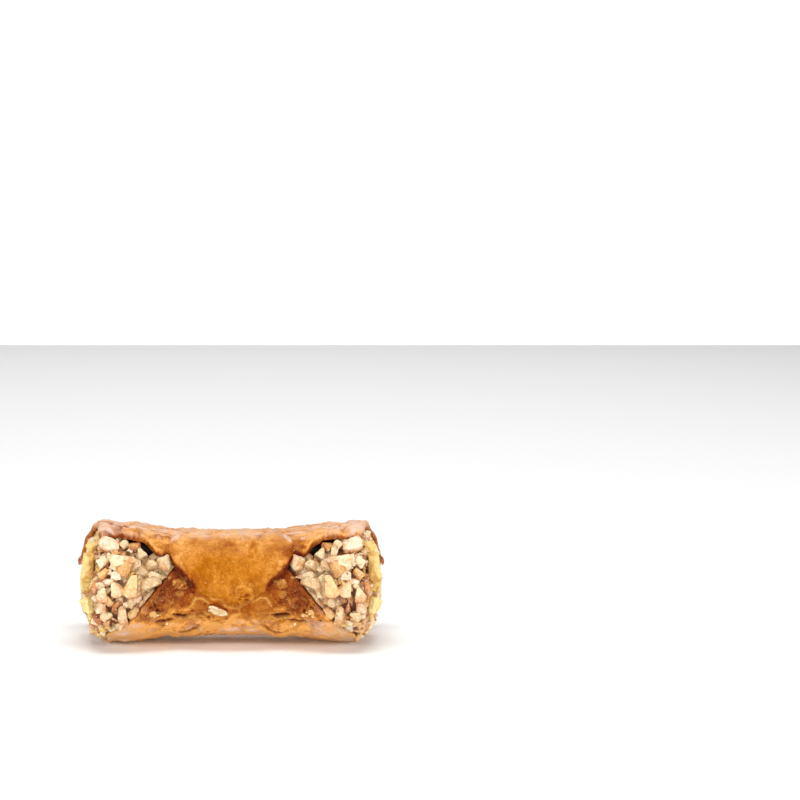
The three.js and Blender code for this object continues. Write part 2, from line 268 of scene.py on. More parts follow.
END_SIDES = (-1, 1)
END_MARKS = [
    # The rolled ridge above the opening.
    mark_at(32.2, 14.3, 3.4, 3.4, 0.5),
    mark_at(32.6, 13.9, 2.3, 2.7, 0.1, toast=0.06, bloom=0.9),
    mark_at(27.4, 13.7, 1.1, 0.35, 0.15, bloom=0.6),
    mark_at(26.5, 15.0, 2.0, 0.5, 0.15, bloom=0.8),
    mark_at(19.5, 13.2, 1.2, 0.6, -0.1, toast=0.14),
    # The crease between the two swells is painted darker: a painted shade in the fold.
    mark_at(29.2, 13.4, 0.9, 3.6, -0.9, toast=0.16, tilt=20),
    mark_at(31.0, 14.7, 1.0, 1.3, -0.1, toast=0.30),
    mark_at(34.6, 14.7, 1.0, 0.7, 0.15, toast=0.30),
    mark_at(35.6, 13.6, 0.8, 0.7, 0.1, toast=0.34),
    mark_at(27.2, 14.1, 1.5, 0.5, -0.1, toast=0.38),
    mark_at(34.9, 12.5, 0.6, 0.8, 0.45, toast=0.12),
    mark_at(33.2, 12.3, 0.6, 0.7, 0.45, toast=0.10),
    mark_at(34.1, 12.6, 0.45, 0.7, -0.5, toast=0.5, hollow=0.25),
    mark_at(32.3, 12.6, 0.4, 0.6, -0.4, toast=0.4),
    mark_at(31.5, 11.9, 0.7, 0.7, 0.45, toast=0.08),
    mark_at(27.9, 11.0, 0.9, 0.7, -0.35, toast=0.22, hollow=0.08),
    mark_at(25.7, 10.7, 1.6, 0.5, -0.3, toast=0.20, hollow=0.08),
    mark_at(25.6, 12.2, 0.5, 1.1, 0.45, toast=-0.10, bloom=0.35),
    mark_at(24.3, 12.0, 0.5, 1.1, 0.4, toast=-0.05, bloom=0.25),
    mark_at(26.7, 12.0, 0.5, 1.0, 0.35, toast=0.05, bloom=0.2),
    mark_at(22.8, 11.8, 0.7, 1.2, 0.3, toast=-0.05, bloom=0.2),
    mark_at(20.7, 10.2, 0.6, 1.0, 0.45, toast=-0.10),
    mark_at(18.3, 8.8, 1.4, 1.2, 0.45, toast=-0.05, ring=0.2, rim=0.25),
    mark_at(18.0, 8.8, 0.8, 0.6, -0.15, toast=0.14),
    mark_at(15.6, 8.4, 3.2, 2.4, -0.15, toast=0.24),
    mark_at(17.5, 12.4, 1.5, 0.9, 0.25, ring=0.7, rim=0.35),
    mark_at(14.6, 11.1, 0.6, 2.3, 0.35, bloom=0.9, tilt=30),
    mark_at(12.8, 13.0, 3.2, 0.5, 0.15, bloom=0.45),
    mark_at(31.2, 12.8, 1.1, 1.1, 0.2, bloom=0.5),
    mark_at(25.0, 14.0, 3.6, 0.5, 0.2, bloom=0.8),
    mark_at(26.9, 12.6, 1.0, 0.4, 0.1, bloom=0.5),
    mark_at(23.0, 10.6, 0.6, 0.5, 0.3, bloom=0.3),
    mark_at(18.6, 11.3, 1.0, 0.5, 0.2, bloom=0.4, tilt=20),
    # The lower flap, from the seam to the underside.
    # The first three are small lumps along the seam, painted lighter as painted highlights.
    mark_at(12.8, 4.8, 0.6, 0.8, 0.3, toast=-0.18),
    mark_at(12.2, 3.4, 0.6, 0.7, 0.25, toast=-0.15),
    mark_at(10.6, 1.0, 0.7, 0.7, 0.25, toast=-0.10),
    mark_at(12.9, -0.4, 1.8, 1.7, 0.2, toast=-0.08, pale=0.32, rough=0.9),
    mark_at(15.0, -4.8, 0.4, 1.3, 0.2, toast=-0.2, pale=0.15, tilt=20),
    mark_at(12.0, -7.0, 1.9, 0.4, 0.2, toast=-0.2, pale=0.15),
    mark_at(15.8, 1.1, 0.5, 0.4, 0.2, pale=0.6),
    mark_at(13.2, -3.0, 1.1, 0.9, 0.2, toast=-0.15, pale=0.25, ring=0.5),
    mark_at(10.3, -3.3, 0.5, 0.6, 0.2, pale=0.22),
    mark_at(12.6, -5.6, 1.5, 1.3, -0.2, toast=0.14),
    mark_at(17.6, -6.6, 2.7, 2.8, 0.4, toast=0.18, rim=0.15),
    mark_at(16.4, -6.2, 1.2, 0.8, 0.1, pale=0.14),
    mark_at(20.0, -8.0, 1.0, 0.8, 0.35, pale=0.75, rough=1),
    mark_at(18.9, -8.4, 0.8, 0.5, 0.30, pale=0.75, rough=1),
    mark_at(21.2, -8.9, 0.8, 0.4, 0.2, pale=0.6, rough=1),
    mark_at(19.6, -5.9, 0.4, 1.0, -0.45, toast=0.3, hollow=0.45, tilt=-20),
    mark_at(20.6, -6.6, 0.6, 0.3, -0.4, toast=0.3, hollow=0.6),
    mark_at(18.9, -7.2, 0.4, 0.7, -0.4, toast=0.3, hollow=0.5),
    mark_at(20.4, -4.6, 0.5, 0.5, 0.2, pale=0.35),
    mark_at(16.0, -10.7, 1.1, 0.8, 0.35, pale=0.35, rough=1),
    mark_at(19.5, -11.3, 1.6, 1.1, 0.25, pale=0.45),
    mark_at(20.8, -12.4, 0.7, 0.5, 0.2, pale=0.4),
    mark_at(8.0, -5.9, 2.0, 1.8, 0.2, toast=0.05, pale=0.12),
    mark_at(9.7, -10.2, 2.1, 1.2, 0.35, toast=0.1, bloom=0.12, rim=0.25),
    mark_at(7.0, -12.0, 2.2, 0.6, 0.15, toast=-0.15, pale=0.4),
    mark_at(12.4, -9.3, 1.6, 0.4, 0.2, toast=-0.2),
    mark_at(14.6, -13.2, 0.9, 0.4, 0.2, toast=-0.2, pale=0.45),
    mark_at(6.9, -10.6, 0.7, 1.2, 0.2, toast=-0.1, pale=0.3, tilt=-30),
    mark_at(11.2, -11.6, 2.2, 0.5, -0.1, toast=0.16),
    mark_at(17.6, -12.4, 2.0, 0.6, -0.1, toast=0.14),
    mark_at(4.8, -11.2, 1.6, 0.8, 0.3, toast=-0.2, pale=0.12),
    mark_at(22.5, -7.2, 1.6, 1.4, 0.25, toast=-0.05, bloom=0.2),
    mark_at(24.5, -11.0, 2.2, 1.2, 0.25, toast=-0.1, bloom=0.25),
    # The next three are tiny painted glints of white.
    mark_at(16.5, -10.4, 0.35, 0.5, 0.25, pale=1.6),
    mark_at(15.7, -10.8, 0.3, 0.5, 0.25, pale=1.6),
    mark_at(15.0, -10.5, 0.3, 0.3, 0.2, pale=1.6),
    mark_at(11.5, -8.9, 1.2, 0.5, 0.3),
    mark_at(14.4, -13.6, 0.8, 0.5, 0.2, pale=0.35),
    mark_at(15.6, -12.6, 3.2, 0.5, -0.1, toast=0.18),
    mark_at(10.4, -10.6, 3.0, 1.8, 0.0, toast=0.10),
    mark_at(20.0, -13.1, 0.9, 0.4, 0.2, pale=0.3),
    mark_at(27.0, -13.6, 4.0, 1.6, 0.2, toast=-0.10, pale=0.12),
]

# %% Marks of the middle
# Across is counted to the left here, and these are laid once.
MIDDLE_SIDE = (-1,)
MIDDLE_MARKS = [
    mark_at(-3.3, -3.3, 2.1, 2.4, 0.3, toast=-0.06, ring=0.7, rim=0.2),
    mark_at(-4.0, -3.5, 0.7, 0.4, -0.4, toast=0.4, hollow=0.35, tilt=-20),
    mark_at(-4.0, -4.9, 0.6, 0.3, -0.35, toast=0.4, hollow=0.35),
    mark_at(-2.2, -4.6, 0.4, 0.35, -0.3, toast=0.35, hollow=0.3),
    mark_at(-2.7, -3.8, 0.3, 0.3, -0.25, toast=0.3, hollow=0.2),
    mark_at(7.2, -8.3, 0.8, 0.4, -0.4, toast=0.35, hollow=0.35),
    mark_at(5.7, -8.9, 0.6, 0.5, -0.4, toast=0.45, hollow=0.5),
    mark_at(4.5, -8.9, 0.3, 0.4, -0.3, toast=0.35, hollow=0.3),
    mark_at(5.7, -8.0, 1.2, 0.35, 0.2, toast=-0.1, pale=0.45),
    mark_at(-0.4, -7.2, 1.6, 0.9, 0.15, toast=0.12),
    mark_at(-2.5, -10.1, 1.6, 1.1, 0.35, toast=-0.10, bloom=0.3, pale=0.16, rim=0.3),
    mark_at(-2.3, -9.9, 0.6, 0.4, 0.1, pale=0.3),
    mark_at(-6.4, -10.1, 1.1, 0.9, 0.25, toast=-0.05, bloom=0.25, rim=0.3),
    mark_at(0.2, -12.2, 2.8, 1.1, 0.2, toast=-0.15, bloom=0.6),
    mark_at(-5.9, -12.4, 2.2, 1.0, 0.2, toast=-0.1, bloom=0.65),
    # A tiny painted glint of white.
    mark_at(-6.2, -13.2, 1.0, 0.3, 0.1, pale=1.3),
    mark_at(-3.1, -12.7, 0.8, 0.9, -0.1, toast=0.12),
    mark_at(5.6, -12.8, 1.5, 0.6, -0.1, toast=0.18),
    mark_at(3.9, -11.6, 0.9, 0.6, 0.2, toast=-0.1, pale=0.5),
    mark_at(-4.2, -11.2, 1.0, 0.5, -0.15, toast=0.2),
    mark_at(-7.6, -11.4, 1.2, 0.6, 0.2, toast=-0.1, pale=0.35),
    mark_at(7.0, -12.9, 0.8, 0.4, 0.2, toast=-0.1, pale=0.4),
    mark_at(2.8, 9.6, 2.3, 1.0, -0.12, toast=0.05),
    mark_at(-5.0, 8.0, 0.8, 2.1, -0.1, toast=0.04),
    mark_at(-4.9, 0.9, 1.6, 1.1, -0.1, toast=0.10),
    mark_at(0.6, 12.0, 0.4, 1.3, 0.25, bloom=0.9, tilt=35),
    mark_at(-4.9, 12.6, 0.5, 0.8, 0.2, bloom=0.5),
    mark_at(-3.1, 10.6, 0.4, 0.8, 0.15, bloom=0.4),
    mark_at(2.6, 11.8, 0.5, 1.0, 0.15, bloom=0.35, tilt=-40),
    mark_at(4.2, 3.0, 0.5, 0.4, 0.15, pale=0.22),
    mark_at(4.1, 0.1, 0.5, 0.4, 0.15, pale=0.25),
    mark_at(2.3, 0.1, 0.5, 0.4, 0.15, pale=0.22),
    mark_at(2.1, -4.7, 1.6, 0.5, -0.15, toast=0.14),
    mark_at(-10.0, 13.9, 1.0, 0.8, 0.35, toast=0.05),
    mark_at(10.0, 13.9, 1.0, 0.8, 0.35, toast=0.05),
]
print(f"{2 * len(END_MARKS) + len(MIDDLE_MARKS)} marks are placed by hand")


# %% Cracks and raised seams
# A crack is dark, a painted shadow in its groove, with a pale lip on its lower side. A negative depth makes a
# raised, golden seam.
def crack_along(line, wide, deep, **looks):
    """A crack's line of points as seen from the front, its width and depth, and its looks."""
    return dict(line=line, wide=wide, deep=deep, **looks)


END_CRACKS = [
    crack_along([(14.8, -8.2), (13.0, -8.6), (10.8, -8.5)], 0.44, 0.7, dark=1.2, lip=0.35),
    crack_along([(19.2, -10.1), (17.2, -10.0), (15.0, -9.5)], 0.36, 0.5, dark=0.9, lip=0.2),
    crack_along([(13.3, -12.6), (11.5, -12.7), (9.7, -12.2), (8.4, -11.3)], 0.40, 0.35, dark=0.7, lip=0.25),
    crack_along([(20.8, -12.3), (18.0, -12.7), (14.4, -12.3)], 0.3, 0.25, dark=0.1, lip=0.2),
    crack_along([(11.2, -8.4), (9.5, -8.5), (7.4, -8.2)], 0.2, 0.1, lip=0.25),
    crack_along([(10.5, -6.4), (9.1, -4.0), (7.3, -3.9), (5.4, -5.2)], 0.34, -0.3, gold=0.6),
]
MIDDLE_CRACKS = [
    crack_along([(3.7, -9.9), (2.4, -10.4), (1.2, -9.9)], 0.35, 0.35, dark=0.3, lip=0.3),
    crack_along([(5.4, -5.8), (4.1, -5.4), (3.0, -5.8), (0.8, -7.2)], 0.2, 0.3, dark=0.55),
    crack_along([(5.4, -4.5), (2.2, -4.8), (1.3, -6.2), (-2.0, -6.5), (-2.3, -7.8)], 0.34, -0.25, gold=0.45),
    crack_along([(-2.3, -7.8), (-0.4, -8.7), (0.9, -10.3), (1.9, -10.9)], 0.36, -0.25, gold=0.6),
    crack_along([(1.9, -10.9), (3.9, -10.2), (6.4, -10.9), (8.6, -12.5)], 0.36, -0.25, gold=0.6),
]
print(f"{2 * len(END_CRACKS) + len(MIDDLE_CRACKS)} cracks and seams are drawn by hand")


# %% [markdown]
# ## Turning the marks into relief and colour
# Every mark changes five things at each point near it: the height of the surface, and how toasted, how
# pale, how hollow and dark, and how much pinkish painted light it has, a painted highlight on the ridge and
# painted floor light underneath. The dark is partly scorched dough and partly painted shadow. Keeping the
# five together is what makes the colour sit on the shape, so that the brown lies on the blister and the
# painted dark lies in the crack.

# %% One mark's pull on the surface
COLOUR_MARKS = ("toast", "pale", "hollow", "bloom")


def fresh_layers(count):
    return {name: np.zeros(count) for name in ("up", *COLOUR_MARKS)}


def add_mark(layers, spots, centre, along, around, mark, wobble, drift):
    """Adds a blister or hollow at a centre. along and around are the surface's directions there."""
    offset = spots - centre
    near = np.linalg.norm(offset, axis=1) < 1.8 * max(mark["size"])
    offset, bend = offset[near], wobble[near] + 0.9 * drift[near]
    toast, pale, hollow, bloom = (mark.get(name, 0) for name in COLOUR_MARKS)
    rough, ring, rim_shade = (mark.get(name, 0) for name in ("rough", "ring", "rim"))
    tilt = math.radians(mark.get("tilt", 0))
    u = offset @ along
    v = offset @ around
    u, v = u * math.cos(tilt) + v * math.sin(tilt), v * math.cos(tilt) - u * math.sin(tilt)
    reach = np.sqrt((u / mark["size"][0]) ** 2 + (v / mark["size"][1]) ** 2) * (1 + 0.35 * bend)
    dome = np.clip(1.0 - reach**2 / 1.3, 0.0, 1.0) ** 0.8
    top = 1 - smoothstep(reach, *((0.75, 1.05) if rough else (0.35, 1.2)))
    edge = bell(reach - 0.92, 0.18)
    rim = bell(reach - 1.0, 0.13) * (0.25 + 0.75 * smoothstep(v / mark["size"][1], -0.4, 0.6))
    foot = bell(reach - 1.22, 0.16) * min(max(mark["up"], 0.0) / 0.3, 1.0)
    layers["up"][near] += mark["up"] * lerp(dome, 0.9 * edge + 0.3 * top, min(ring, 1))
    layers["up"][near] += rough * 0.22 * bend * top - 0.07 * foot
    layers["toast"][near] += toast * top - 0.08 * ring * edge + 0.10 * foot
    crackle = np.clip(1.0 + 3.0 * rough * layers["grain"][near], 0.0, 2.5)
    layers["pale"][near] += pale * top * crackle + 0.30 * ring * edge + rim_shade * rim
    layers["hollow"][near] += hollow * top
    layers["bloom"][near] += bloom * top


# %% One crack's pull on the surface
def add_crack(layers, x, arc, on_front, crack, side, wobble):
    """Adds a crack along a line of points on the front. x and arc are places on the unrolled surface."""
    line = np.array([(side * across, unrolled(across, up)) for across, up in crack["line"]])
    nearest = np.full(len(x), 1e9)
    below = np.zeros(len(x))
    for start, end in zip(line[:-1], line[1:]):
        step = end - start
        share = np.clip(((x - start[0]) * step[0] + (arc - start[1]) * step[1]) / (step @ step), 0, 1)
        dx = x - start[0] - share * step[0]
        dy = arc - start[1] - share * step[1] + 0.25 * wobble
        far = np.hypot(dx, dy)
        closer = far < nearest
        nearest = np.where(closer, far, nearest)
        below = np.where(closer, -dy, below)
    from_tip = np.minimum(*(np.hypot(x - tip[0], arc - tip[1]) for tip in (line[0], line[-1])))
    wide = crack["wide"] * (0.45 + 0.55 * smoothstep(from_tip, 0.0, 1.4))
    groove = bell(nearest, wide) * on_front
    scorch = bell(nearest, 1.7 * wide) * on_front
    lip = bell(below - 1.9 * wide, 1.2 * wide) * (nearest < 4 * wide) * on_front
    gold, dark, lip_height = (crack.get(key, 0.0) for key in ("gold", "dark", "lip"))
    layers["up"] += lip_height * lip - crack["deep"] * groove
    # The groove is painted dark: a painted shadow.
    layers["hollow"] += dark * groove**1.5
    layers["toast"] += (0.1 + 0.45 * dark) * scorch * (1.0 - gold) - 0.2 * gold * groove
    layers["pale"] += 1.1 * lip_height * lip + gold * groove * np.clip(1.0 + 1.3 * wobble, 0.15, 1.4)


# %% [markdown]
# ## Small blisters and pits
# Between the large marks the crust is covered in small blisters, and the underside in pits where fat boiled
# off. They are drawn by random generators, each with its own seed, so that every run gives the same ones.
# The back gets larger ones of its own, because no mark was laid there.

# %% Scattered blisters and pits
SMALL_BLISTERS = 230
BACK_BLISTERS = 90
PITS = 70
blister_rng = np.random.default_rng(7)
small_blisters = [
    dict(
        turn=blister_rng.uniform(-150, 150),
        x=blister_rng.uniform(-38, 38),
        size=(blister_rng.uniform(0.7, 2.4), blister_rng.uniform(0.7, 2.0)),
        up=blister_rng.uniform(0.10, 0.34),
        toast=blister_rng.uniform(-0.08, 0.28),
        ring=float(blister_rng.random() < 0.25) * blister_rng.uniform(0.3, 0.8),
        tilt=blister_rng.uniform(0, 180),
    )
    for _ in range(SMALL_BLISTERS)
]
back_rng = np.random.default_rng(17)
back_blisters = [
    dict(
        turn=back_rng.uniform(-85, 85),
        x=back_rng.uniform(-36, 36),
        size=(back_rng.uniform(0.8, 3.2), back_rng.uniform(0.7, 2.4)),
        up=back_rng.uniform(0.2, 0.5),
        toast=back_rng.uniform(-0.15, 0.30),
        rim=back_rng.uniform(0.1, 0.4),
        tilt=back_rng.uniform(0, 180),
    )
    for _ in range(BACK_BLISTERS)
]
pit_rng = np.random.default_rng(11)
small_pits = []
for _ in range(PITS):
    wide = pit_rng.uniform(0.22, 0.5)
    small_pits.append(
        dict(
            turn=pit_rng.uniform(-175, -125),
            x=pit_rng.uniform(-26, 26),
            size=(wide, wide * pit_rng.uniform(0.6, 1.2)),
            up=-0.15,
            toast=pit_rng.uniform(0.15, 0.5),
            hollow=pit_rng.uniform(0.0, 0.25),
        )
    )
print(f"{SMALL_BLISTERS + BACK_BLISTERS} blisters and {PITS} pits are scattered")


# %% [markdown]
# ## The wrapped sheet
# The shell is one sheet, so it is made as one: a flat grid whose length becomes the tube's length and whose
# width goes once and a bit round it. A second grid becomes the inner wall. The two share their outline,
# where the thickness runs out in a round edge, and are merged there into one closed crust. Rows are packed
# closer together near the flaps, where the eye goes, and the hidden inner wall is thinned out afterwards.

# %% The sheet's grid
COLUMNS = 270
ROWS = 280
ROW_PACKING = 0.5
COLUMN_PACKING = 0.2


def packed_towards_ends(values, amount):
    return values + amount * np.sin(np.pi * values) / np.pi


def sheet_places(grid):
    """Turns a flat grid from -1 to 1 into places on the wrapped sheet, and their distances to its edges."""
    along = packed_towards_ends(grid[:, 0], COLUMN_PACKING)
    reach = packed_towards_ends(grid[:, 1], ROW_PACKING)
    side = np.where(reach >= 0, 1.0, -1.0)
    upper = side > 0
    corner = np.where(upper, UPPER_FLAP["corner"], LOWER_FLAP["corner"])
    edge_x = along * corner
    rise = np.where(upper, flap_rise(UPPER_FLAP, edge_x), flap_rise(LOWER_FLAP, edge_x))
    ragged = 0.5 * np.sin(1.9 * edge_x) + 0.6 * np.sin(0.83 * edge_x + 1.0) + 0.35 * np.sin(4.3 * edge_x)
    ruffle = np.sin(2.6 * edge_x + 3.0 * np.sin(0.9 * edge_x)) * (0.7 + 0.5 * np.sin(1.7 * edge_x))
    ragged += 0.9 * ruffle * smoothstep(np.abs(edge_x), 20, 24) * upper
    edge_turn = 180.0 - side * (rise + ragged)
    turn = reach * edge_turn
    ragged_end = 0.22 * np.sin(0.09 * turn) + 0.16 * np.sin(0.23 * turn + 2.0)
    trim = 1.0 - 0.035 * np.abs(along) ** 8 * np.abs(reach) ** 12
    x = along * (end_reach(turn) + ragged_end * np.abs(along) ** 6) * trim
    from_end = (1.0 - np.abs(along)) * end_reach(turn)
    from_flap = (1.0 - np.abs(reach)) * np.radians(edge_turn) * tube_radius(x)
    return x, turn, side, from_end, from_flap


print(f"the sheet's grid is {COLUMNS} by {ROWS}")


# %% The marks laid on the sheet
def place_on_sheet(layers, spots, x, turn, mark, wobble, drift):
    radius = float(tube_radius(x))
    centre = around_axis(np.float64(x), np.float64(turn), radius)
    ahead = around_axis(np.float64(x), np.float64(turn - 1.0), radius) - centre
    around = ahead / np.linalg.norm(ahead)
    add_mark(layers, spots, centre, np.array([1.0, 0.0, 0.0]), around, mark, wobble, drift)


def crust_layers(x, turn, side):
    """What all marks add to height and colour, the points they were laid at, their noise and their arc."""
    radius = tube_radius(x)
    spots = around_axis(x, turn, radius)
    layers = fresh_layers(len(x))
    wobble = roughness_at(spots, 1.6, 3)
    drift = roughness_at(spots, 4.0, 13, octaves=1)
    layers["grain"] = roughness_at(spots, 0.6, 21, octaves=1)
    rise = np.where(side > 0, 180.0 - turn, -180.0 - turn)
    arc = np.radians(rise) * radius
    on_front = (np.abs(rise) < 85).astype(float)
    for ends, marks in ((END_SIDES, END_MARKS), (MIDDLE_SIDE, MIDDLE_MARKS)):
        for end in ends:
            for mark in marks:
                across, up = mark["at"]
                tilted = dict(mark, tilt=end * mark.get("tilt", 0))
                place_on_sheet(layers, spots, end * across, sheet_turn(across, up), tilted, wobble, drift)
    for blister in small_blisters + back_blisters + small_pits:
        place_on_sheet(layers, spots, blister["x"], blister["turn"], blister, wobble, drift)
    for ends, cracks in ((END_SIDES, END_CRACKS), (MIDDLE_SIDE, MIDDLE_CRACKS)):
        for end in ends:
            for crack in cracks:
                add_crack(layers, x, arc, on_front, crack, end, wobble)
    return layers, spots, wobble, arc


# %% [markdown]
# ### Browning and painted light
# A fried shell is darkest where it is thin or bare to the oil: along its cut edges and beside the seam. At
# the rim of each mouth that dark is partly painted shade, and a painted shadow lies under the upper flap's
# edge and beside the nuts. The front of the flap is a richer orange, partly oil glaze and partly painted
# front light. The top and the underside are painted lighter, and a pinkish painted sheen lies on the ridge,
# with painted light from the floor on the underside. None of this follows a blister, so it is worked out from
# where a point lies on the unrolled sheet. arc is the length along the unrolled front, above its middle. Each
# term is one such place: how strong it is, over which millimetres or degrees it comes and goes, and which
# flap it is on.

# %% Browning and painted light over the whole sheet
def ridge_streaks(x, arc, side, spots):
    """Streaks along the tube on the rolled ridge above each opening, where the sheet was pulled tight."""
    streaks = roughness_at(spots * np.array([0.22, 1.0, 1.0]), 1.0, 9)
    ridge = smoothstep(np.abs(x), 13.0, 17.0) * smoothstep(arc, 9.0, 12.0) + 0.5 * smoothstep(arc, 11.5, 14.0)
    return streaks * np.minimum(ridge, 1.0) * (side > 0) * smoothstep(spots[:, 1], 16.0, 8.0)


def browning(x, turn, side, arc, streaks, broad, medium, fine):
    """How toasted the dough is, how richly orange, partly oil glaze and partly painted front light, and how
    pale, before edges and marks.
    """
    far = np.abs(x)
    seen = smoothstep(np.abs(turn), 15.0, 70.0)
    # The front of the flap is painted a richer orange: partly oil glaze and partly painted front light.
    front_flap = np.exp(-((x / 13.5) ** 4) - ((arc - 0.5) / 10.5) ** 4)
    glaze_and_front_light = np.clip(front_flap + 0.35 * smoothstep(broad, 0.0, 0.9) * smoothstep(turn, -30, 30), 0, 1)
    lower_flap = smoothstep(-arc, -16.0, 2.0) * (side < 0) * smoothstep(arc, -14.0, -8.0)
    beside_seam = bell(far - 15.5, 5.5) * (side < 0) * smoothstep(arc, -10.0, -2.0)
    toast = 0.20 + 0.16 * broad + 0.13 * medium + 0.06 * fine
    toast += 0.20 * lower_flap + 0.38 * beside_seam + 0.20 * streaks
    toast += 0.30 * medium * (side < 0) * smoothstep(-arc, 6.0, 9.0) * seen
    # The top is painted lighter, as painted light from above; the upper flap is also lighter towards the
    # ends.
    toast -= seen * (0.08 * smoothstep(far, 24, 34) * (side > 0) + 0.06 * smoothstep(arc, 10.0, 15.0))
    # The underside is painted lighter, as painted light bounced up from the floor.
    toast -= 0.26 * smoothstep(-arc, lerp(12.5, 10.0, smoothstep(far, 16.0, 24.0)), 17.0) * seen
    pale = 0.10 * smoothstep(fine + medium, 0.3, 1.1)
    pale += 0.4 * smoothstep(fine + medium, 0.05, 0.7) * (side < 0) * smoothstep(-arc, 7.5, 9.5) * seen
    # The bottom corners are painted pale, as painted light bounced up from the floor.
    pale += 1.05 * smoothstep(far, 22.0, 30.0) * smoothstep(-arc, 11.5, 14.5) * (side < 0) * seen
    return toast, glaze_and_front_light, pale


def dusty_bloom(x, turn, side, arc, from_flap, streaks, broad, medium):
    """The pinkish painted sheen on the ridge and the painted light from the floor underneath, gone from the
    back and from the upper flap's edge.
    """
    far = np.abs(x)
    bloom = 0.45 * smoothstep(arc, 10.5, 14.5) + 0.40 * smoothstep(far, 23, 31) * smoothstep(arc, 9.0, 13.0)
    bloom += 0.55 * smoothstep(far, 20, 31) * smoothstep(-arc, 11.0, 14.5)
    bloom += 0.4 * smoothstep(medium + 0.5 * broad, 0.1, 0.5) * smoothstep(-arc, 9.5, 12.5)
    bloom = np.clip(bloom * (0.85 + 0.9 * medium - 1.2 * streaks), 0, 0.85)
    beside_edge = bell(from_flap, 3.2) * (side > 0) * smoothstep(far, 17.0, 21.0)
    return bloom * lerp(0.15, 1.0, smoothstep(np.abs(turn), 62.0, 104.0)) * (1.0 - 0.75 * beside_edge)


# %% Browning and painted shade along the edges
def below_upper_flap(x, arc):
    """How far a point of the unrolled front lies below the upper flap's edge."""
    return np.radians(flap_rise(UPPER_FLAP, x)) * tube_radius(x) - arc


def edge_browning_and_painted_light(x, turn, side, arc, from_end, from_flap, medium):
    """What the edges and the seam add to how toasted and how dark the dough is: partly browning, partly
    painted shadow, and on the rolled edge's underside painted light.
    """
    far = np.abs(x)
    open_seam = smoothstep(far, 8.3, 9.8)
    on_seam = open_seam * (1.0 - smoothstep(far, 15.5, 18.0))
    narrower = lerp(1.0, 1.6, smoothstep(far, 13.0, 15.5))
    # The upper flap's edge over the seam is dark: partly burnt dough and partly a painted shadow.
    burnt_and_shaded_edge = (1.0 - smoothstep(from_flap * narrower, 1.0, 2.5)) * (side > 0) * on_seam
    # The underside of the rolled edge is painted lighter: painted light in its shade.
    underside = bell(from_flap, 2.2) * (side > 0) * smoothstep(far, 17.0, 21.0)
    thin_edge = bell(from_flap, 0.7) * (side > 0) * smoothstep(far, 14.5, 16.5)
    # A painted shadow where the lower flap's edge meets the nuts.
    beside_nuts = bell(from_flap, 0.5) * (side < 0) * smoothstep(far, 13.0, 15.0)
    below_flap = below_upper_flap(x, arc)
    shadow_line = bell(below_flap - 0.2, 0.65) * (side < 0) * open_seam
    # The rim at the back and top of each mouth is darker: partly a browned cut edge, partly painted shade.
    toast = 0.5 * bell(from_end, 1.4) * smoothstep(80 - turn, 0, 25) * smoothstep(turn, -60, 0)
    toast += 0.60 * burnt_and_shaded_edge - 0.26 * underside * (1.0 - smoothstep(far, 31.0, 34.0))
    toast += 0.18 * bell(from_flap, 3.6) * (side > 0) * on_seam
    toast += (0.4 + 0.35 * (1.0 - smoothstep(far, 20.0, 23.0))) * thin_edge
    toast += 0.5 * beside_nuts * (1.0 - smoothstep(far, 22.0, 30.0))
    # A painted shadow on the lower flap just below the upper flap's edge.
    toast += 0.22 * bell(below_flap - 0.3, 1.6) * (side < 0) * open_seam
    burnt_and_shadow = 0.2 * shadow_line * (1 + 0.4 * medium) + 0.40 * burnt_and_shaded_edge * (1 + 0.5 * medium)
    burnt_and_shadow += 0.4 * beside_nuts * (1.0 - smoothstep(far, 18.0, 22.0))
    return toast, burnt_and_shadow


# %% [markdown]
# ### Rolling the grid into the crust
# The outer and the inner wall come from one function, so that they meet exactly at the edges. The thickness
# follows a quarter of an ellipse there, as dough is squeezed round where it was cut.

# %% The swells of the whole sheet
# How far from the middle, at which turn, how high, and how far it spreads along the tube and round it.
SWELLS = [
    (33.2, 84, 0.15, 2.2, 30),
    (28.7, 92, -0.45, 1.7, 22),
    (30.0, -100, -0.8, 9.0, 18),
    (16.0, -100, -0.35, 9.0, 20),
    (0.0, -98, -0.3, 10.0, 20),
    (12.6, -100, 0.8, 2.8, 20),
    (12.4, 46, 0.5, 3.6, 16),
    (26.5, 18, 0.45, 3.2, 15),
    (22.0, -38, 0.5, 3.0, 14),
    (5.6, -12, 0.55, 3.8, 17),
    (8.5, -66, 0.4, 3.2, 14),
]


def broad_swells(x, turn):
    height = np.zeros(len(x))
    for far, middle, up, along, around in SWELLS:
        height += up * np.exp(-(((np.abs(x) - far) / along) ** 2) - ((turn - middle) / around) ** 2)
    return height


# %% The sheet's middle and thickness
EDGE_ROUND = 0.95
FLAP_TAPER = 3.0


def sheet_core(x, turn, side, from_end, from_flap):
    """The radius of the sheet's middle, half its thickness, and how full it is, from 0 at its very edge."""
    far = np.abs(x)
    round_share = np.clip(np.minimum(from_end, from_flap) / EDGE_ROUND, 0.0, 1.0)
    full = np.sqrt(1.0 - (1.0 - round_share) ** 2)
    inward = smoothstep(from_flap, 0.0, FLAP_TAPER)
    sealed = (1.0 - 0.45 * smoothstep(far, 8.0, 11.0) - 0.55 * smoothstep(far, 15.0, 20.0)) * (side > 0)
    sunk = 0.35 * sealed * (1.0 - inward)
    half = CRUST / 2 * lerp(1.0, lerp(0.4, 1.0, inward), sealed)
    middle = tube_radius(x) - CRUST / 2 + lap_offset(turn) - sunk
    spots = around_axis(x, turn, tube_radius(x))
    middle += 0.35 * bell(from_end, 2.6) * roughness_at(spots, 3.0, 6)
    middle += 0.30 * roughness_at(spots, 11.0, 5, octaves=2) * inward
    return middle, half * full, full


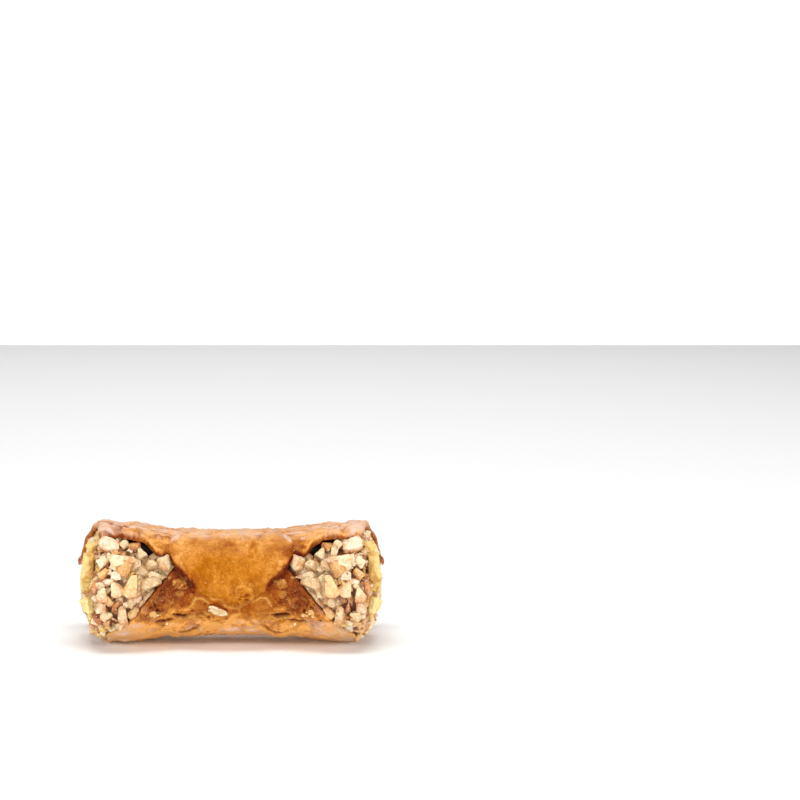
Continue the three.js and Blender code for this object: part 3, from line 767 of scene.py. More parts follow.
# %% The outer and the inner wall
def outer_wall(x, turn, side, from_end, from_flap):
    """The outer wall's radius at each point, and its marks."""
    middle, half, full = sheet_core(x, turn, side, from_end, from_flap)
    layers, spots, wobble, arc = crust_layers(x, turn, side)
    streaks = ridge_streaks(x, arc, side, spots)
    broad, medium, fine = (roughness_at(spots, size, seed) for size, seed in ((9.0, 1), (3.2, 2), (0.9, 4)))
    toast, glaze_and_front_light, pale = browning(x, turn, side, arc, streaks, broad, medium, fine)
    edge_toast_and_painted_light, burnt_and_shadow = edge_browning_and_painted_light(x, turn, side, arc, from_end, from_flap, medium)
    bloom = dusty_bloom(x, turn, side, arc, from_flap, streaks, broad, medium)
    broad_bubbles = bubbles_at(spots, 2.6, 0.55, 2)
    fine_bubbles = bubbles_at(spots, 1.1, 0.5, 5)
    below_tip = below_upper_flap(x, arc)
    covered = np.where(side < 0, smoothstep(-below_tip, 0.3, 1.6), 0)
    calm = 1.0 - 0.6 * glaze_and_front_light
    relief = layers["up"] + calm * (0.20 * broad_bubbles + 0.10 * fine_bubbles)
    relief += calm * (0.10 * wobble + 0.04 * roughness_at(spots, 0.55, 8)) + 0.10 * streaks
    relief *= 1.0 + 0.3 * (1.0 - smoothstep(np.abs(turn), 30.0, 80.0))
    relief += broad_swells(x, turn)
    relief += 0.62 * (1.0 - smoothstep(np.abs(x), 7.5, 12.0)) * bell(below_tip, 6.5) * (side < 0)
    marks = {
        "toast": np.clip(toast + edge_toast_and_painted_light - 0.05 * broad_bubbles + layers["toast"], 0, 1),
        "pale": np.clip(np.minimum(pale + 0.10 * fine_bubbles, 0.95) + layers["pale"], 0, 1.5),
        "glaze_and_front_light": glaze_and_front_light,
        "hollow": np.clip(layers["hollow"] + burnt_and_shadow, 0, 1),
        "inside": np.zeros(len(x)),
        "bloom": np.clip(bloom + layers["bloom"], 0, 0.9),
    }
    return middle + half + relief * full * (1.0 - covered), marks


def inner_wall(x, turn, side, from_end, from_flap):
    """The inner wall's radius at each point, and its marks."""
    middle, half, _ = sheet_core(x, turn, side, from_end, from_flap)
    marks = {mark: np.zeros(len(x)) for mark in ("pale", "glaze_and_front_light", "hollow", "bloom")}
    marks["toast"] = np.full(len(x), 0.45)
    marks["inside"] = smoothstep(np.minimum(from_end, from_flap), 0.1, 0.8)
    return middle - half, marks


def rolled(name, wall):
    """A flat grid rolled into one wall of the tube, flattened where it rests on the floor."""
    bpy.ops.mesh.primitive_grid_add(x_subdivisions=COLUMNS, y_subdivisions=ROWS, size=2)
    piece = added(name)
    sheet = sheet_places(points_of(piece))
    radius, marks = wall(*sheet)
    places = around_axis(*sheet[:2], radius)
    places[:, 2] = np.maximum(places[:, 2], 0.0)
    set_points(piece, places * MM)
    for mark, values in marks.items():
        set_mark(piece, mark, values)
    return piece


# %% One closed crust
# The outer wall has one half of the triangles and keeps them all. The inner one keeps only a share.
MERGE_WITHIN = 0.01 * MM
HIDDEN_FROM = 0.95
INNER_SHARE = 0.2
outer = rolled("shell_crust", outer_wall)
inner = rolled("shell_inner", inner_wall)
only(outer, inner)
bpy.ops.object.join()
crust = added("shell_crust")
in_edit_mode(
    crust,
    lambda: bpy.ops.mesh.remove_doubles(threshold=MERGE_WITHIN),
    lambda: bpy.ops.mesh.normals_make_consistent(inside=False),
)
hidden = crust.vertex_groups.new(name="hidden")
inside = get_mark(crust, "inside")
hidden.add([int(i) for i in np.flatnonzero(inside > HIDDEN_FROM)], 1.0, "REPLACE")
before = triangles_of(crust)
apply_modifier(
    crust,
    "DECIMATE",
    ratio=0.5 + INNER_SHARE / 2,
    vertex_group="hidden",
    use_collapse_triangulate=True,
)
crust.vertex_groups.clear()
only(crust)
bpy.ops.object.shade_smooth()
print(f"the crust has {triangles_of(crust)} triangles, from {before}")


# %% [markdown]
# ## The cream
# The cream fills the tube and swells out a little between the flaps. It starts as a sphere, whose rings
# become the rings of the filling: the poles are the tips of the two domed ends. Its surface is lumpy,
# because the nuts were pressed into it, and it stays low under the upper flap's edge, where the real one
# has a gap that looks dark.

# %% The cream's form
# A gap has its place as seen from the front, its width, and how deep the cream sinks there.
FILLING_GAP = 0.4
FILLING_END = 37.4
FILLING_DOME = 4.4
BULGE = 1.9
GAPS = [dict(at=(22.9, 9.8), size=2.4, deep=2.7), dict(at=(20.9, 8.2), size=2.2, deep=2.3)]


def between_flaps(x, turn):
    """How far, in millimetres, a point lies from the nearer flap's edge, inside the opening."""
    wrapped = np.where(turn < 0, turn + 360.0, turn)
    rise = 180.0 - wrapped
    degree = np.radians(1.0) * tube_radius(x)
    below_upper = (flap_rise(UPPER_FLAP, x) - rise) * degree
    above_lower = (rise - flap_rise(LOWER_FLAP, np.minimum(np.abs(x), LOWER_FLAP["corner"]))) * degree
    return np.minimum(below_upper, above_lower)


def openness(x, turn):
    """How far a point of the filling is free of the crust, at the tube's end or between the flaps."""
    return np.maximum(np.abs(x) - end_reach(turn), 0.7 * between_flaps(x, turn))


def cream_radius(x, turn):
    under_crust = tube_radius(x) - CRUST - FILLING_GAP - np.abs(lap_offset(turn))
    return under_crust + BULGE * smoothstep(openness(x, turn), 0.4, 2.6)


def cream_surface(side, along, turn):
    """A point of the cream. along is 0 at a dome's tip, 1 at its edge and 2 at the tube's middle."""
    share = np.minimum(along, 1.0)
    dome_x = FILLING_END - FILLING_DOME * share**3
    x = side * lerp(dome_x, 0.0, np.maximum(along - 1.0, 0.0))
    return around_axis(x, turn, share * cream_radius(x, turn))


def along_of(x):
    """The cream's along number of a distance from the tube's middle."""
    edge = FILLING_END - FILLING_DOME
    far = np.minimum(np.abs(x), FILLING_END - 0.01)
    return np.where(far > edge, ((FILLING_END - far) / FILLING_DOME) ** (1 / 3), 2.0 - far / edge)


# %% Turn a sphere into the filling
CREAM_SEGMENTS = 160
CREAM_RINGS = 120
bpy.ops.mesh.primitive_uv_sphere_add(segments=CREAM_SEGMENTS, ring_count=CREAM_RINGS, radius=1)
cream = added("cream")
sphere = points_of(cream)
polar = np.arccos(np.clip(sphere[:, 2], -1, 1)) / (math.pi / 2)
cream_side = np.where(polar < 1, -1.0, 1.0)
cream_along = np.where(polar < 1, polar, 2 - polar)
cream_along = np.where(cream_along < 0.5, cream_along * 2.0, 1.0 + (cream_along - 0.5) * 2.0)
cream_turn = np.degrees(np.arctan2(sphere[:, 1], sphere[:, 0]))
cream_points = cream_surface(cream_side, cream_along, cream_turn)
print(f"the cream has {len(cream_points)} points")

# %% Its lumps, its shade and its gaps
# The lumps push away from a centre line that is a little shorter than the cream.
CENTRE_SHARE = 0.82
GAP_SINK = 2.0
lumps = 0.45 * roughness_at(cream_points, 2.6, 11) + 0.30 * roughness_at(cream_points, 0.9, 12)
centre_line = cream_points * [CENTRE_SHARE, 0, 0] + [0, AXIS_Y, AXIS_HEIGHT]
outward = cream_points - centre_line
outward /= np.linalg.norm(outward, axis=1)[:, None]
shade = 1 - smoothstep(between_flaps(cream_points[:, 0], cream_turn), 0.3, 1.9)
shade *= 1 - smoothstep(np.abs(cream_points[:, 0]), 32.0, 35.0)
# Between the nuts at the domed ends the cream is painted dark: a painted shadow in the crevices.
crevice_shadow = smoothstep(np.abs(cream_points[:, 0]), 24.0, 29.0)
for gap in GAPS:
    for end in END_SIDES:
        across, up = gap["at"]
        gap_radius = float(tube_radius(across)) - GAP_SINK
        gap_turn = float(seen_turn(up, gap_radius))
        middle = around_axis(np.float64(end * across), np.float64(gap_turn), gap_radius)
        distance = np.linalg.norm(cream_points - middle, axis=1)
        lumps -= gap["deep"] * bell(distance, gap["size"])
        shade = np.maximum(shade, 1 - smoothstep(distance, 0.6 * gap["size"], 1.2 * gap["size"]))
print(f"its lumps reach from {lumps.min():.2f} to {lumps.max():.2f} mm")

# %% Finish the cream's mesh
set_points(cream, (cream_points + outward * lumps[:, None]) * MM)
set_mark(cream, "shade", shade)
set_mark(cream, "crevice_shadow", crevice_shadow)
in_edit_mode(cream, lambda: bpy.ops.mesh.normals_make_consistent(inside=False))
only(cream)
bpy.ops.object.shade_smooth()
print(f"the cream has {triangles_of(cream)} triangles")


# %% [markdown]
# ## Chopped hazelnuts
# A chopped hazelnut keeps part of the nut's round outside and has rough faces where the knife went. So each
# shape starts as a round nut, and a few cuts with bisect take pieces off it. A remesh then blunts its
# corners and gives it points enough to be roughened, and a decimate keeps only what shows. A few shapes are
# modelled, and every piece is one of them, copied, turned and stretched in its own way.

# %% Cut one nut
nut_rng = np.random.default_rng(21)
CUT_DEPTHS = (0.22, 0.62)
CUT_SLANT = 0.33


def cut_nut(number, cuts, kept):
    """A chopped piece: its points with sides of 1, its triangles, and where the nut's skin is."""
    bpy.ops.mesh.primitive_ico_sphere_add(subdivisions=3, radius=1)
    piece = added(f"nut_shape_{number}")

    def cut(normal, depth):
        bpy.ops.mesh.select_all(action="SELECT")
        bpy.ops.mesh.bisect(
            plane_co=tuple(np.array(normal) * depth), plane_no=tuple(normal), use_fill=True, clear_outer=True
        )

    sides = nut_rng.permutation(np.concatenate([np.eye(3), -np.eye(3)]))
    planes = []
    for direction in sides[:cuts]:
        normal = direction + nut_rng.normal(size=3) * CUT_SLANT
        planes.append((normal / np.linalg.norm(normal), nut_rng.uniform(*CUT_DEPTHS)))
    in_edit_mode(piece, *[lambda plane=plane: cut(*plane) for plane in planes])
    apply_modifier(
        piece,
        "REMESH",
        mode="SHARP",
        octree_depth=5,
        scale=0.95,
        sharpness=1.0,
        use_remove_disconnected=True,
    )
    points = points_of(piece)
    rough = 0.12 * roughness_at(points, 0.7, number, octaves=2) + 0.04 * roughness_at(points, 0.22, number)
    set_points(piece, points * (1 + rough[:, None]))
    apply_modifier(piece, "DECIMATE", ratio=kept / triangles_of(piece), use_collapse_triangulate=True)
    points = points_of(piece)
    skin = smoothstep(np.linalg.norm(points, axis=1), 0.86, 0.97)
    faces = np.array([face.vertices[:] for face in piece.data.polygons])
    bpy.data.objects.remove(piece)
    points -= (points.max(axis=0) + points.min(axis=0)) / 2
    spread = np.linalg.svd(points, full_matrices=False)[2]
    if np.linalg.det(spread) < 0:
        spread[2] *= -1
    points = points @ spread.T
    points /= points.max(axis=0) - points.min(axis=0)
    return points, faces, skin


# %% Model the nut shapes
# Chunks get four to six cuts and crumbs five. A shape's number is also the seed of its roughness.
CHUNK_NUMBERS = range(14)
CRUMB_NUMBERS = range(20, 28)
CHUNK_FACES = 340
CRUMB_FACES = 90
CHUNKS = [cut_nut(number, cuts=4 + number % 3, kept=CHUNK_FACES) for number in CHUNK_NUMBERS]
CRUMBS = [cut_nut(number, cuts=5, kept=CRUMB_FACES) for number in CRUMB_NUMBERS]
print("faces of the nut shapes:", [len(faces) for _, faces, _ in CHUNKS])
print("faces of the crumb shapes:", [len(faces) for _, faces, _ in CRUMBS])


# %% [markdown]
# ### Laying the nuts
# The pieces that the eye picks out at each mouth are laid one by one: how far across from the middle and up
# from the axis they are seen, their length and width, the way they point, and what sort they are. The rest
# of each mouth, and the domed ends that face left and right, are then filled by scattering pieces and
# crumbs.

# %% The nuts laid one by one
# across, up, long, wide, heading, sort. A heading of 0 points to the middle of the tube, and 90 points up.
SORTS = ("ivory", "golden", "toasted", "grey", "yellow")
LAID_NUTS = [
    (31.3, 8.9, 5.2, 4.0, -30, "ivory"),
    (29.4, 11.2, 2.8, 2.5, 60, "ivory"),
    (27.6, 9.1, 4.2, 2.2, 78, "ivory"),
    (25.3, 9.0, 3.1, 2.7, -20, "golden"),
    (22.9, 6.5, 3.0, 2.8, 70, "grey"),
    (19.9, 6.4, 3.2, 2.2, -25, "grey"),
    (18.4, 5.7, 2.6, 1.8, -30, "grey"),
    (28.0, 5.7, 5.9, 3.2, 5, "ivory"),
    (27.2, 3.4, 3.8, 3.4, 60, "golden"),
    (29.3, 1.6, 3.0, 2.6, 30, "ivory"),
    (32.6, 4.9, 3.0, 2.4, 60, "ivory"),
    (32.4, 1.9, 2.7, 2.3, 50, "golden"),
    (26.2, -1.5, 5.4, 3.9, 80, "golden"),
    (29.6, -2.0, 4.0, 3.3, 110, "ivory"),
    (32.6, -3.0, 3.6, 2.8, 80, "ivory"),
    (34.2, -2.0, 4.8, 1.7, 95, "toasted"),
    (24.4, 4.2, 3.3, 2.7, 70, "grey"),
    (20.8, 4.2, 2.7, 2.4, 20, "grey"),
    (19.3, 1.9, 5.0, 2.0, -5, "grey"),
    (21.1, -0.2, 5.0, 3.0, 20, "grey"),
    (23.9, -1.5, 4.8, 1.7, 88, "grey"),
    (21.3, -3.3, 4.0, 2.3, 28, "grey"),
    (23.1, -6.1, 3.9, 2.2, 50, "ivory"),
    (25.7, -5.1, 2.7, 2.1, 80, "grey"),
    (25.7, -7.9, 4.5, 3.1, -65, "golden"),
    (28.0, -8.9, 6.6, 2.1, -83, "ivory"),
    (30.1, -6.6, 3.2, 1.6, -80, "toasted"),
    (32.9, -6.4, 3.2, 2.7, 60, "ivory"),
    (31.9, -8.3, 2.8, 2.5, 20, "grey"),
    (33.4, -10.7, 2.2, 2.0, 10, "grey"),
    (31.6, -10.7, 2.4, 1.7, 70, "golden"),
    (30.3, -13.0, 3.2, 2.2, 0, "ivory"),
    (32.9, -12.8, 2.4, 2.0, 45, "golden"),
    (34.6, 9.2, 4.2, 3.8, 65, "yellow"),
    (33.6, 11.2, 2.4, 1.8, 20, "golden"),
    (35.3, 3.9, 6.6, 3.8, 84, "yellow"),
    (36.3, -0.6, 4.0, 3.2, 95, "yellow"),
    (37.2, -3.8, 4.6, 2.4, 100, "yellow"),
    (35.3, -6.0, 4.8, 3.9, 75, "yellow"),
    (35.4, -9.1, 2.7, 1.8, 60, "yellow"),
    (35.7, -10.7, 2.3, 2.1, 40, "golden"),
    (38.2, 1.1, 6.5, 1.6, 90, "ivory"),
    (32.6, 6.7, 2.6, 1.3, 25, "ivory"),
    (30.1, 3.9, 2.4, 2.0, 0, "ivory"),
    (31.1, 0.1, 3.0, 1.7, 10, "ivory"),
]
# The one in the narrow corner of each opening is the roundest, and stands proud of the rest.
CORNER_NUT = (17.6, 3.8, 3.7, 3.3, 62, "ivory")
CORNER_LIFT = 0.42
print(f"{2 * (len(LAID_NUTS) + 1)} nuts are to be laid by hand")


# %% Stand a frame on the cream
def frame_on_cream(x, turn):
    """A point of the cream, its outward direction, and the directions to the tube's middle and up."""
    side = -1.0 if x < 0 else 1.0
    along = float(along_of(x))
    point = cream_surface(side, along, turn)
    ahead = cream_surface(side, along + 0.03, turn) - cream_surface(side, max(along - 0.03, 0.02), turn)
    ring = max(along, 0.05)
    beside = cream_surface(side, ring, turn - 3.0) - cream_surface(side, ring, turn + 3.0)
    ahead /= np.linalg.norm(ahead)
    beside /= np.linalg.norm(beside)
    normal = np.cross(ahead, beside)
    normal /= np.linalg.norm(normal)
    if normal @ (point - np.array([0.55 * x, AXIS_Y, AXIS_HEIGHT])) < 0:
        normal = -normal
    return point, normal, ahead, np.cross(normal, ahead)


# %% Put one nut on the cream
FLATNESS = 0.85
FRONT_LIMIT = -17.4
LOWEST = 0.4


def set_in_place(points, place, sizes, directions):
    """A shape's points at a place, stretched to its sizes along three directions."""
    for axis, (size, direction) in enumerate(zip(sizes, directions)):
        place = place + points[:, axis : axis + 1] * size * direction
    return place


def kept_inside(points, front=FRONT_LIMIT):
    """Points moved back together from the front limit, and each kept clear of the floor."""
    points[:, 1] += max(0.0, front - points[:, 1].min())
    points[:, 2] = np.maximum(points[:, 2], LOWEST)
    return points


def nut_at(shapes, x, turn, size, heading, lift, rng, lean=0.16):
    """Points, faces and marks of one nut. size is its length and width, and lift how far it stands out."""
    points, faces, skin = shapes[rng.integers(len(shapes))]
    long, wide = size
    thick = FLATNESS * wide * rng.uniform(0.8, 1.2)
    place, normal, ahead, beside = frame_on_cream(x, turn)
    if rng.random() < 0.5:
        points = points * np.array([1, -1, -1])
    turned = math.radians(heading)
    first = ahead * math.cos(turned) + beside * math.sin(turned)
    tip = rng.normal(size=2) * lean
    first = first + normal * tip[0]
    first /= np.linalg.norm(first)
    third = normal + np.cross(normal, first) * tip[1]
    third -= first * (third @ first)
    third /= np.linalg.norm(third)
    directions = (first, np.cross(third, first), third)
    placed = kept_inside(
        set_in_place(points, place + normal * lift * thick, (long, wide, thick), directions)
    )
    buried = 1.0 - smoothstep((placed - place) @ normal, -0.2, 1.3)
    tone = np.full(len(points), rng.random())
    # Each nut gets a painted shadow on its side towards the middle of the tube and down.
    towards_shadow = np.array([-np.sign(x) * 0.9, 0.1, -0.45]) + rng.normal(size=3) * 0.5
    towards_shadow /= np.linalg.norm(towards_shadow)
    shadow_side = smoothstep((placed - placed.mean(axis=0)) @ towards_shadow / (0.5 * wide), 0.15, 0.95)
    return placed, faces, skin, buried, tone, shadow_side


def mirrored(nut):
    placed, faces, *marks = nut
    return (placed * np.array([-1, 1, 1]), faces[:, ::-1], *marks)


# %% Lay the nuts
# A nut is made larger than it is seen, because the cream and its neighbours hide its edges. The one in the
# corner has the shape with the most of a nut's round skin left.
LAID_SCALE = 1.18
LAST_RING = FILLING_END - 0.4
OPENING_TURN = 170.0
STANDS_PROUD = 0.6
NUT_LIFT = {"yellow": 0.40, "grey": 0.34}
USUAL_LIFT = 0.28
place_rng = np.random.default_rng(33)
nuts = {sort: [] for sort in SORTS}
taken = []
for across, up, long, wide, heading, sort in [*LAID_NUTS, CORNER_NUT]:
    radius = float(cream_radius(across, OPENING_TURN)) + STANDS_PROUD
    if across > FILLING_END - FILLING_DOME:
        radius *= float(along_of(across))
    turn = float(seen_turn(up, radius))
    x = -min(across, LAST_RING)
    past = max(across - LAST_RING, 0)
    lift = NUT_LIFT.get(sort, USUAL_LIFT) + 0.2 * past
    shapes = CHUNKS
    if across == CORNER_NUT[0]:
        lift = CORNER_LIFT
        shapes = [max(CHUNKS, key=lambda shape: shape[2].mean())]
    nut = nut_at(shapes, x, turn, (LAID_SCALE * long, LAID_SCALE * wide), heading, lift, place_rng)
    nuts[sort] += [nut, mirrored(nut)]
    kept_clear = (0.8 if sort == "yellow" else 0.5) * (long + wide) / 2
    taken.append((*cream_surface(-1.0, float(along_of(x)), turn), kept_clear))
print("laid:", {sort: len(pieces) for sort, pieces in nuts.items()})


# %% How the rest is scattered
# Most of the inner pieces are grey with cream. The others are of these sorts, each with its share.
TRIES_EACH = 60
OPEN_FROM = 0.3
SCATTERED = {"ivory": 0.46, "golden": 0.30, "toasted": 0.14, "yellow": 0.10}


def scatter(side, count, sizes, room, shapes, lift, rng):
    """Fills the free room of one end with pieces, each kept off its neighbours by a share of its size."""
    made = 0
    for _ in range(count * TRIES_EACH):
        if made >= count:
            break
        long = rng.uniform(*sizes)
        wide = long * rng.uniform(0.55, 0.9)
        along = math.sqrt(rng.random()) if rng.random() < 0.6 else rng.uniform(1.0, 1.62)
        turn = rng.uniform(-180, 180)
        point = cream_surface(side, along, turn)
        x = float(point[0])
        if along > 1 and openness(x, turn) < OPEN_FROM:
            continue
        seen = (abs(x), float(tube_radius(x)) * math.sin(math.radians(180.0 - turn)))
        half = (long + wide) / 4
        if any(math.dist(seen, gap["at"]) < 0.7 * gap["size"] + 0.7 * half for gap in GAPS):
            continue
        spot = (-abs(x), point[1], point[2])
        near = np.array(spots_taken[side])
        if np.any(np.linalg.norm(near[:, :3] - spot, axis=1) < room * (half + near[:, 3])):
            continue
        spots_taken[side].append((*spot, half))
        if rng.random() < 0.8 * smoothstep(34.0 - abs(x), 3.0, 11.0):
            sort = "grey"
        else:
            sort = rng.choice(list(SCATTERED), p=list(SCATTERED.values()))
        heading = rng.uniform(0, 360)
        yield sort, nut_at(shapes, x, turn, (long, wide), heading, rng.uniform(*lift), rng, lean=0.4)
        made += 1


# %% Scatter chunks first and crumbs between them
# How many at most, their lengths, the share of their size that they keep off others, their shapes, and lift.
FILLS = (
    (130, (2.6, 4.6), 0.62, CHUNKS, (-0.05, 0.3)),
    (600, (1.1, 2.5), 0.36, CRUMBS, (-0.1, 0.4)),
)
spots_taken = {side: list(taken) for side in END_SIDES}
for side in END_SIDES:
    fill_rng = np.random.default_rng(50 + side)
    for fill in FILLS:
        for sort, nut in scatter(side, *fill, fill_rng):
            nuts[sort].append(nut)
print("laid and scattered:", {sort: len(pieces) for sort, pieces in nuts.items()})


# %% [markdown]
# ### Crumbs on the nuts
# Chopping leaves fine crumbs that cling to the larger pieces. They break the smooth faces, so each one is
# set on a point of a nut that looks outward.

# %% Scatter fine crumbs on top
CRUMBS_EACH = 3


def crumb_on(nut, rng):
    placed, faces, *_ = nut
    corner = placed[faces[rng.integers(len(faces))]]
    normal = np.cross(corner[1] - corner[0], corner[2] - corner[0])
    normal /= np.linalg.norm(normal) + 1e-9
    spot = corner.mean(axis=0)
    outward = spot - np.array([0.75 * spot[0], AXIS_Y, AXIS_HEIGHT])
    turn = math.degrees(math.atan2(spot[2] - AXIS_HEIGHT, spot[1] - AXIS_Y)) + SEAM_TILT
    if normal @ outward < 0.35 * np.linalg.norm(outward) or openness(spot[0], turn) < 0.4:
        return None
    points, triangles, skin = CRUMBS[rng.integers(len(CRUMBS))]
    turned = np.linalg.qr(rng.normal(size=(3, 3)))[0]
    size = rng.uniform(0.45, 1.25) * np.array([1.0, rng.uniform(0.5, 0.9), rng.uniform(0.4, 0.8)])
    made = kept_inside(spot + (points * size) @ turned.T, FRONT_LIMIT - 0.2)
    nothing = np.zeros(len(points))
    return made, triangles, skin, nothing, nothing + rng.random(), nothing + 0.5 * rng.random()


dust_rng = np.random.default_rng(71)
dust = {sort: [] for sort in SORTS}
for sort, pieces in nuts.items():
    for nut in pieces:
        for _ in range(CRUMBS_EACH):
            crumb = crumb_on(nut, dust_rng)
            if crumb is not None:
                kind = sort if dust_rng.random() < 0.5 or sort == "grey" else "golden"
                dust[kind].append(crumb)
for sort, pieces in dust.items():
    nuts[sort] += pieces
print("fine crumbs:", {sort: len(pieces) for sort, pieces in dust.items()})


# %% [markdown]
# ### Slivers
# A thin sliver of toasted skin curls off the outer edge of each mouth. One of the chopped shapes is drawn
# out long and bowed, and its mirror image goes on the other end.

# %% Lay the slivers at the outer edge
# x, y, height above the axis, long, wide, lean towards the tube, and how far the middle bows out.
SLIVERS = [
    (-38.8, -3.0, 6.6, 3.2, 1.1, 28, 0.45),
]
sliver_rng = np.random.default_rng(91)
for x, y, up, long, wide, lean, bow in SLIVERS:
    points, triangles, skin = CHUNKS[sliver_rng.integers(len(CHUNKS))]
    tilt = math.radians(lean)
    upward = np.array([math.sin(tilt), 0.0, math.cos(tilt)])
    outward = np.array([-math.cos(tilt), 0.0, math.sin(tilt)])
    bowed = points[:, 1:2] * wide + bow * (1 - 4 * points[:, :1] ** 2)
    made = np.array([x, y, AXIS_HEIGHT + up]) + points[:, :1] * long * upward + bowed * outward
    made -= points[:, 2:3] * 0.9 * wide * np.array([0.0, 1.0, 0.0])
    nothing = np.zeros(len(points))
    one = (made, triangles, skin, nothing, nothing + 1.0, nothing + 0.8)
    nuts["toasted"] += [one, mirrored(one)]
print(f"{2 * len(SLIVERS)} slivers are laid")


# %% [markdown]
# ### One piece for each sort
# Thousands of small objects would be slow to handle, so the nuts of one sort become one mesh. Each point
# keeps four numbers for the finish: how much of the nut's skin it has, how deep it is buried in the cream,
# its own nut's tone, and how much painted shadow falls on that side of the nut.

# %% Join the nuts of each sort
EDGE_ANGLE = math.radians(34)


def joined(name, parts):
    points, faces, start = [], [], 0
    for placed, triangles, *_ in parts:
        points.append(placed)
        faces.append(triangles + start)
        start += len(placed)
    mesh = bpy.data.meshes.new(name)
    mesh.from_pydata((np.concatenate(points) * MM).tolist(), [], np.concatenate(faces).tolist())
    piece = bpy.data.objects.new(name, mesh)
    bpy.context.scene.collection.objects.link(piece)
    for index, mark in enumerate(("skin", "buried", "tone", "shadow_side")):
        set_mark(piece, mark, np.concatenate([part[2 + index] for part in parts]))
    in_edit_mode(piece, lambda: bpy.ops.mesh.normals_make_consistent(inside=False))
    only(piece)
    bpy.ops.object.shade_smooth_by_angle(angle=EDGE_ANGLE)
    return piece


nut_pieces = {sort: joined(f"nuts_{sort}", parts) for sort, parts in nuts.items()}
print({sort: triangles_of(piece) for sort, piece in nut_pieces.items()})


# %% [markdown]
# ## Flakes
# Where the skin of a blister came loose, a flake of pale dough lies on the crust. Each is one of the
# chopped shapes pressed flat, because a broken flake has the same kind of outline.

# %% Lay the flakes on the crust
# x, up, long, wide, heading. The outer ones, beyond FLAKE_DARKENS, are as brown as the dough round them.
FLAKE_THICK = 0.5
FLAKE_DARKENS = 10.0
FLAKES = [
    (-3.6, -7.4, 5.6, 2.5, -25),
    (-4.8, -7.0, 2.2, 1.3, 20),
    (-20.2, -7.7, 2.0, 1.5, 10),
    (-19.0, -8.3, 1.8, 1.0, -10),
    (20.2, -7.7, 2.0, 1.5, 170),
    (19.0, -8.3, 1.8, 1.0, 190),
]
flake_rng = np.random.default_rng(5)
flakes = []
for x, up, long, wide, heading in FLAKES:
    above = around_axis(np.float64(x), np.float64(sheet_turn(x, up)), float(tube_radius(x)) + 1.0)
    _, place, normal, _ = crust.closest_point_on_mesh(Vector(above) * MM)
    place, normal = np.array(place) / MM, np.array(normal)
    beside = np.cross(normal, [1.0, 0.0, 0.0])
    beside /= np.linalg.norm(beside)
    ahead = np.cross(beside, normal)
    points, triangles, skin = CHUNKS[flake_rng.integers(len(CHUNKS))]
    turned = math.radians(heading)
    first = ahead * math.cos(turned) + beside * math.sin(turned)
    second = beside * math.cos(turned) - ahead * math.sin(turned)
    made = set_in_place(points, place, (long, wide, FLAKE_THICK), (first, second, normal))
    nothing = np.zeros(len(points))
    flakes.append((made, triangles, skin, nothing, nothing + float(abs(x) > FLAKE_DARKENS), nothing))
flake_piece = joined("flakes", flakes)
print(f"the flakes have {triangles_of(flake_piece)} triangles")


# %% [markdown]
# ## Finishes
# Every colour below was picked as the eye sees it and is turned into the linear colour that light is worked
# out in. A finish is a tree of nodes: noise and stored marks go in, are mixed into a colour and a
# roughness, and end in one shader. The helper below adds and links such nodes, so that each finish reads as
# a short recipe.

# %% Helpers for materials
def colour(red, green, blue):
    def linear(value):
        value /= 255
        return value / 12.92 if value <= 0.04045 else ((value + 0.055) / 1.055) ** 2.4

    return (linear(red), linear(green), linear(blue), 1.0)


GLOW_SPREAD = (1.0, 0.45, 0.2)


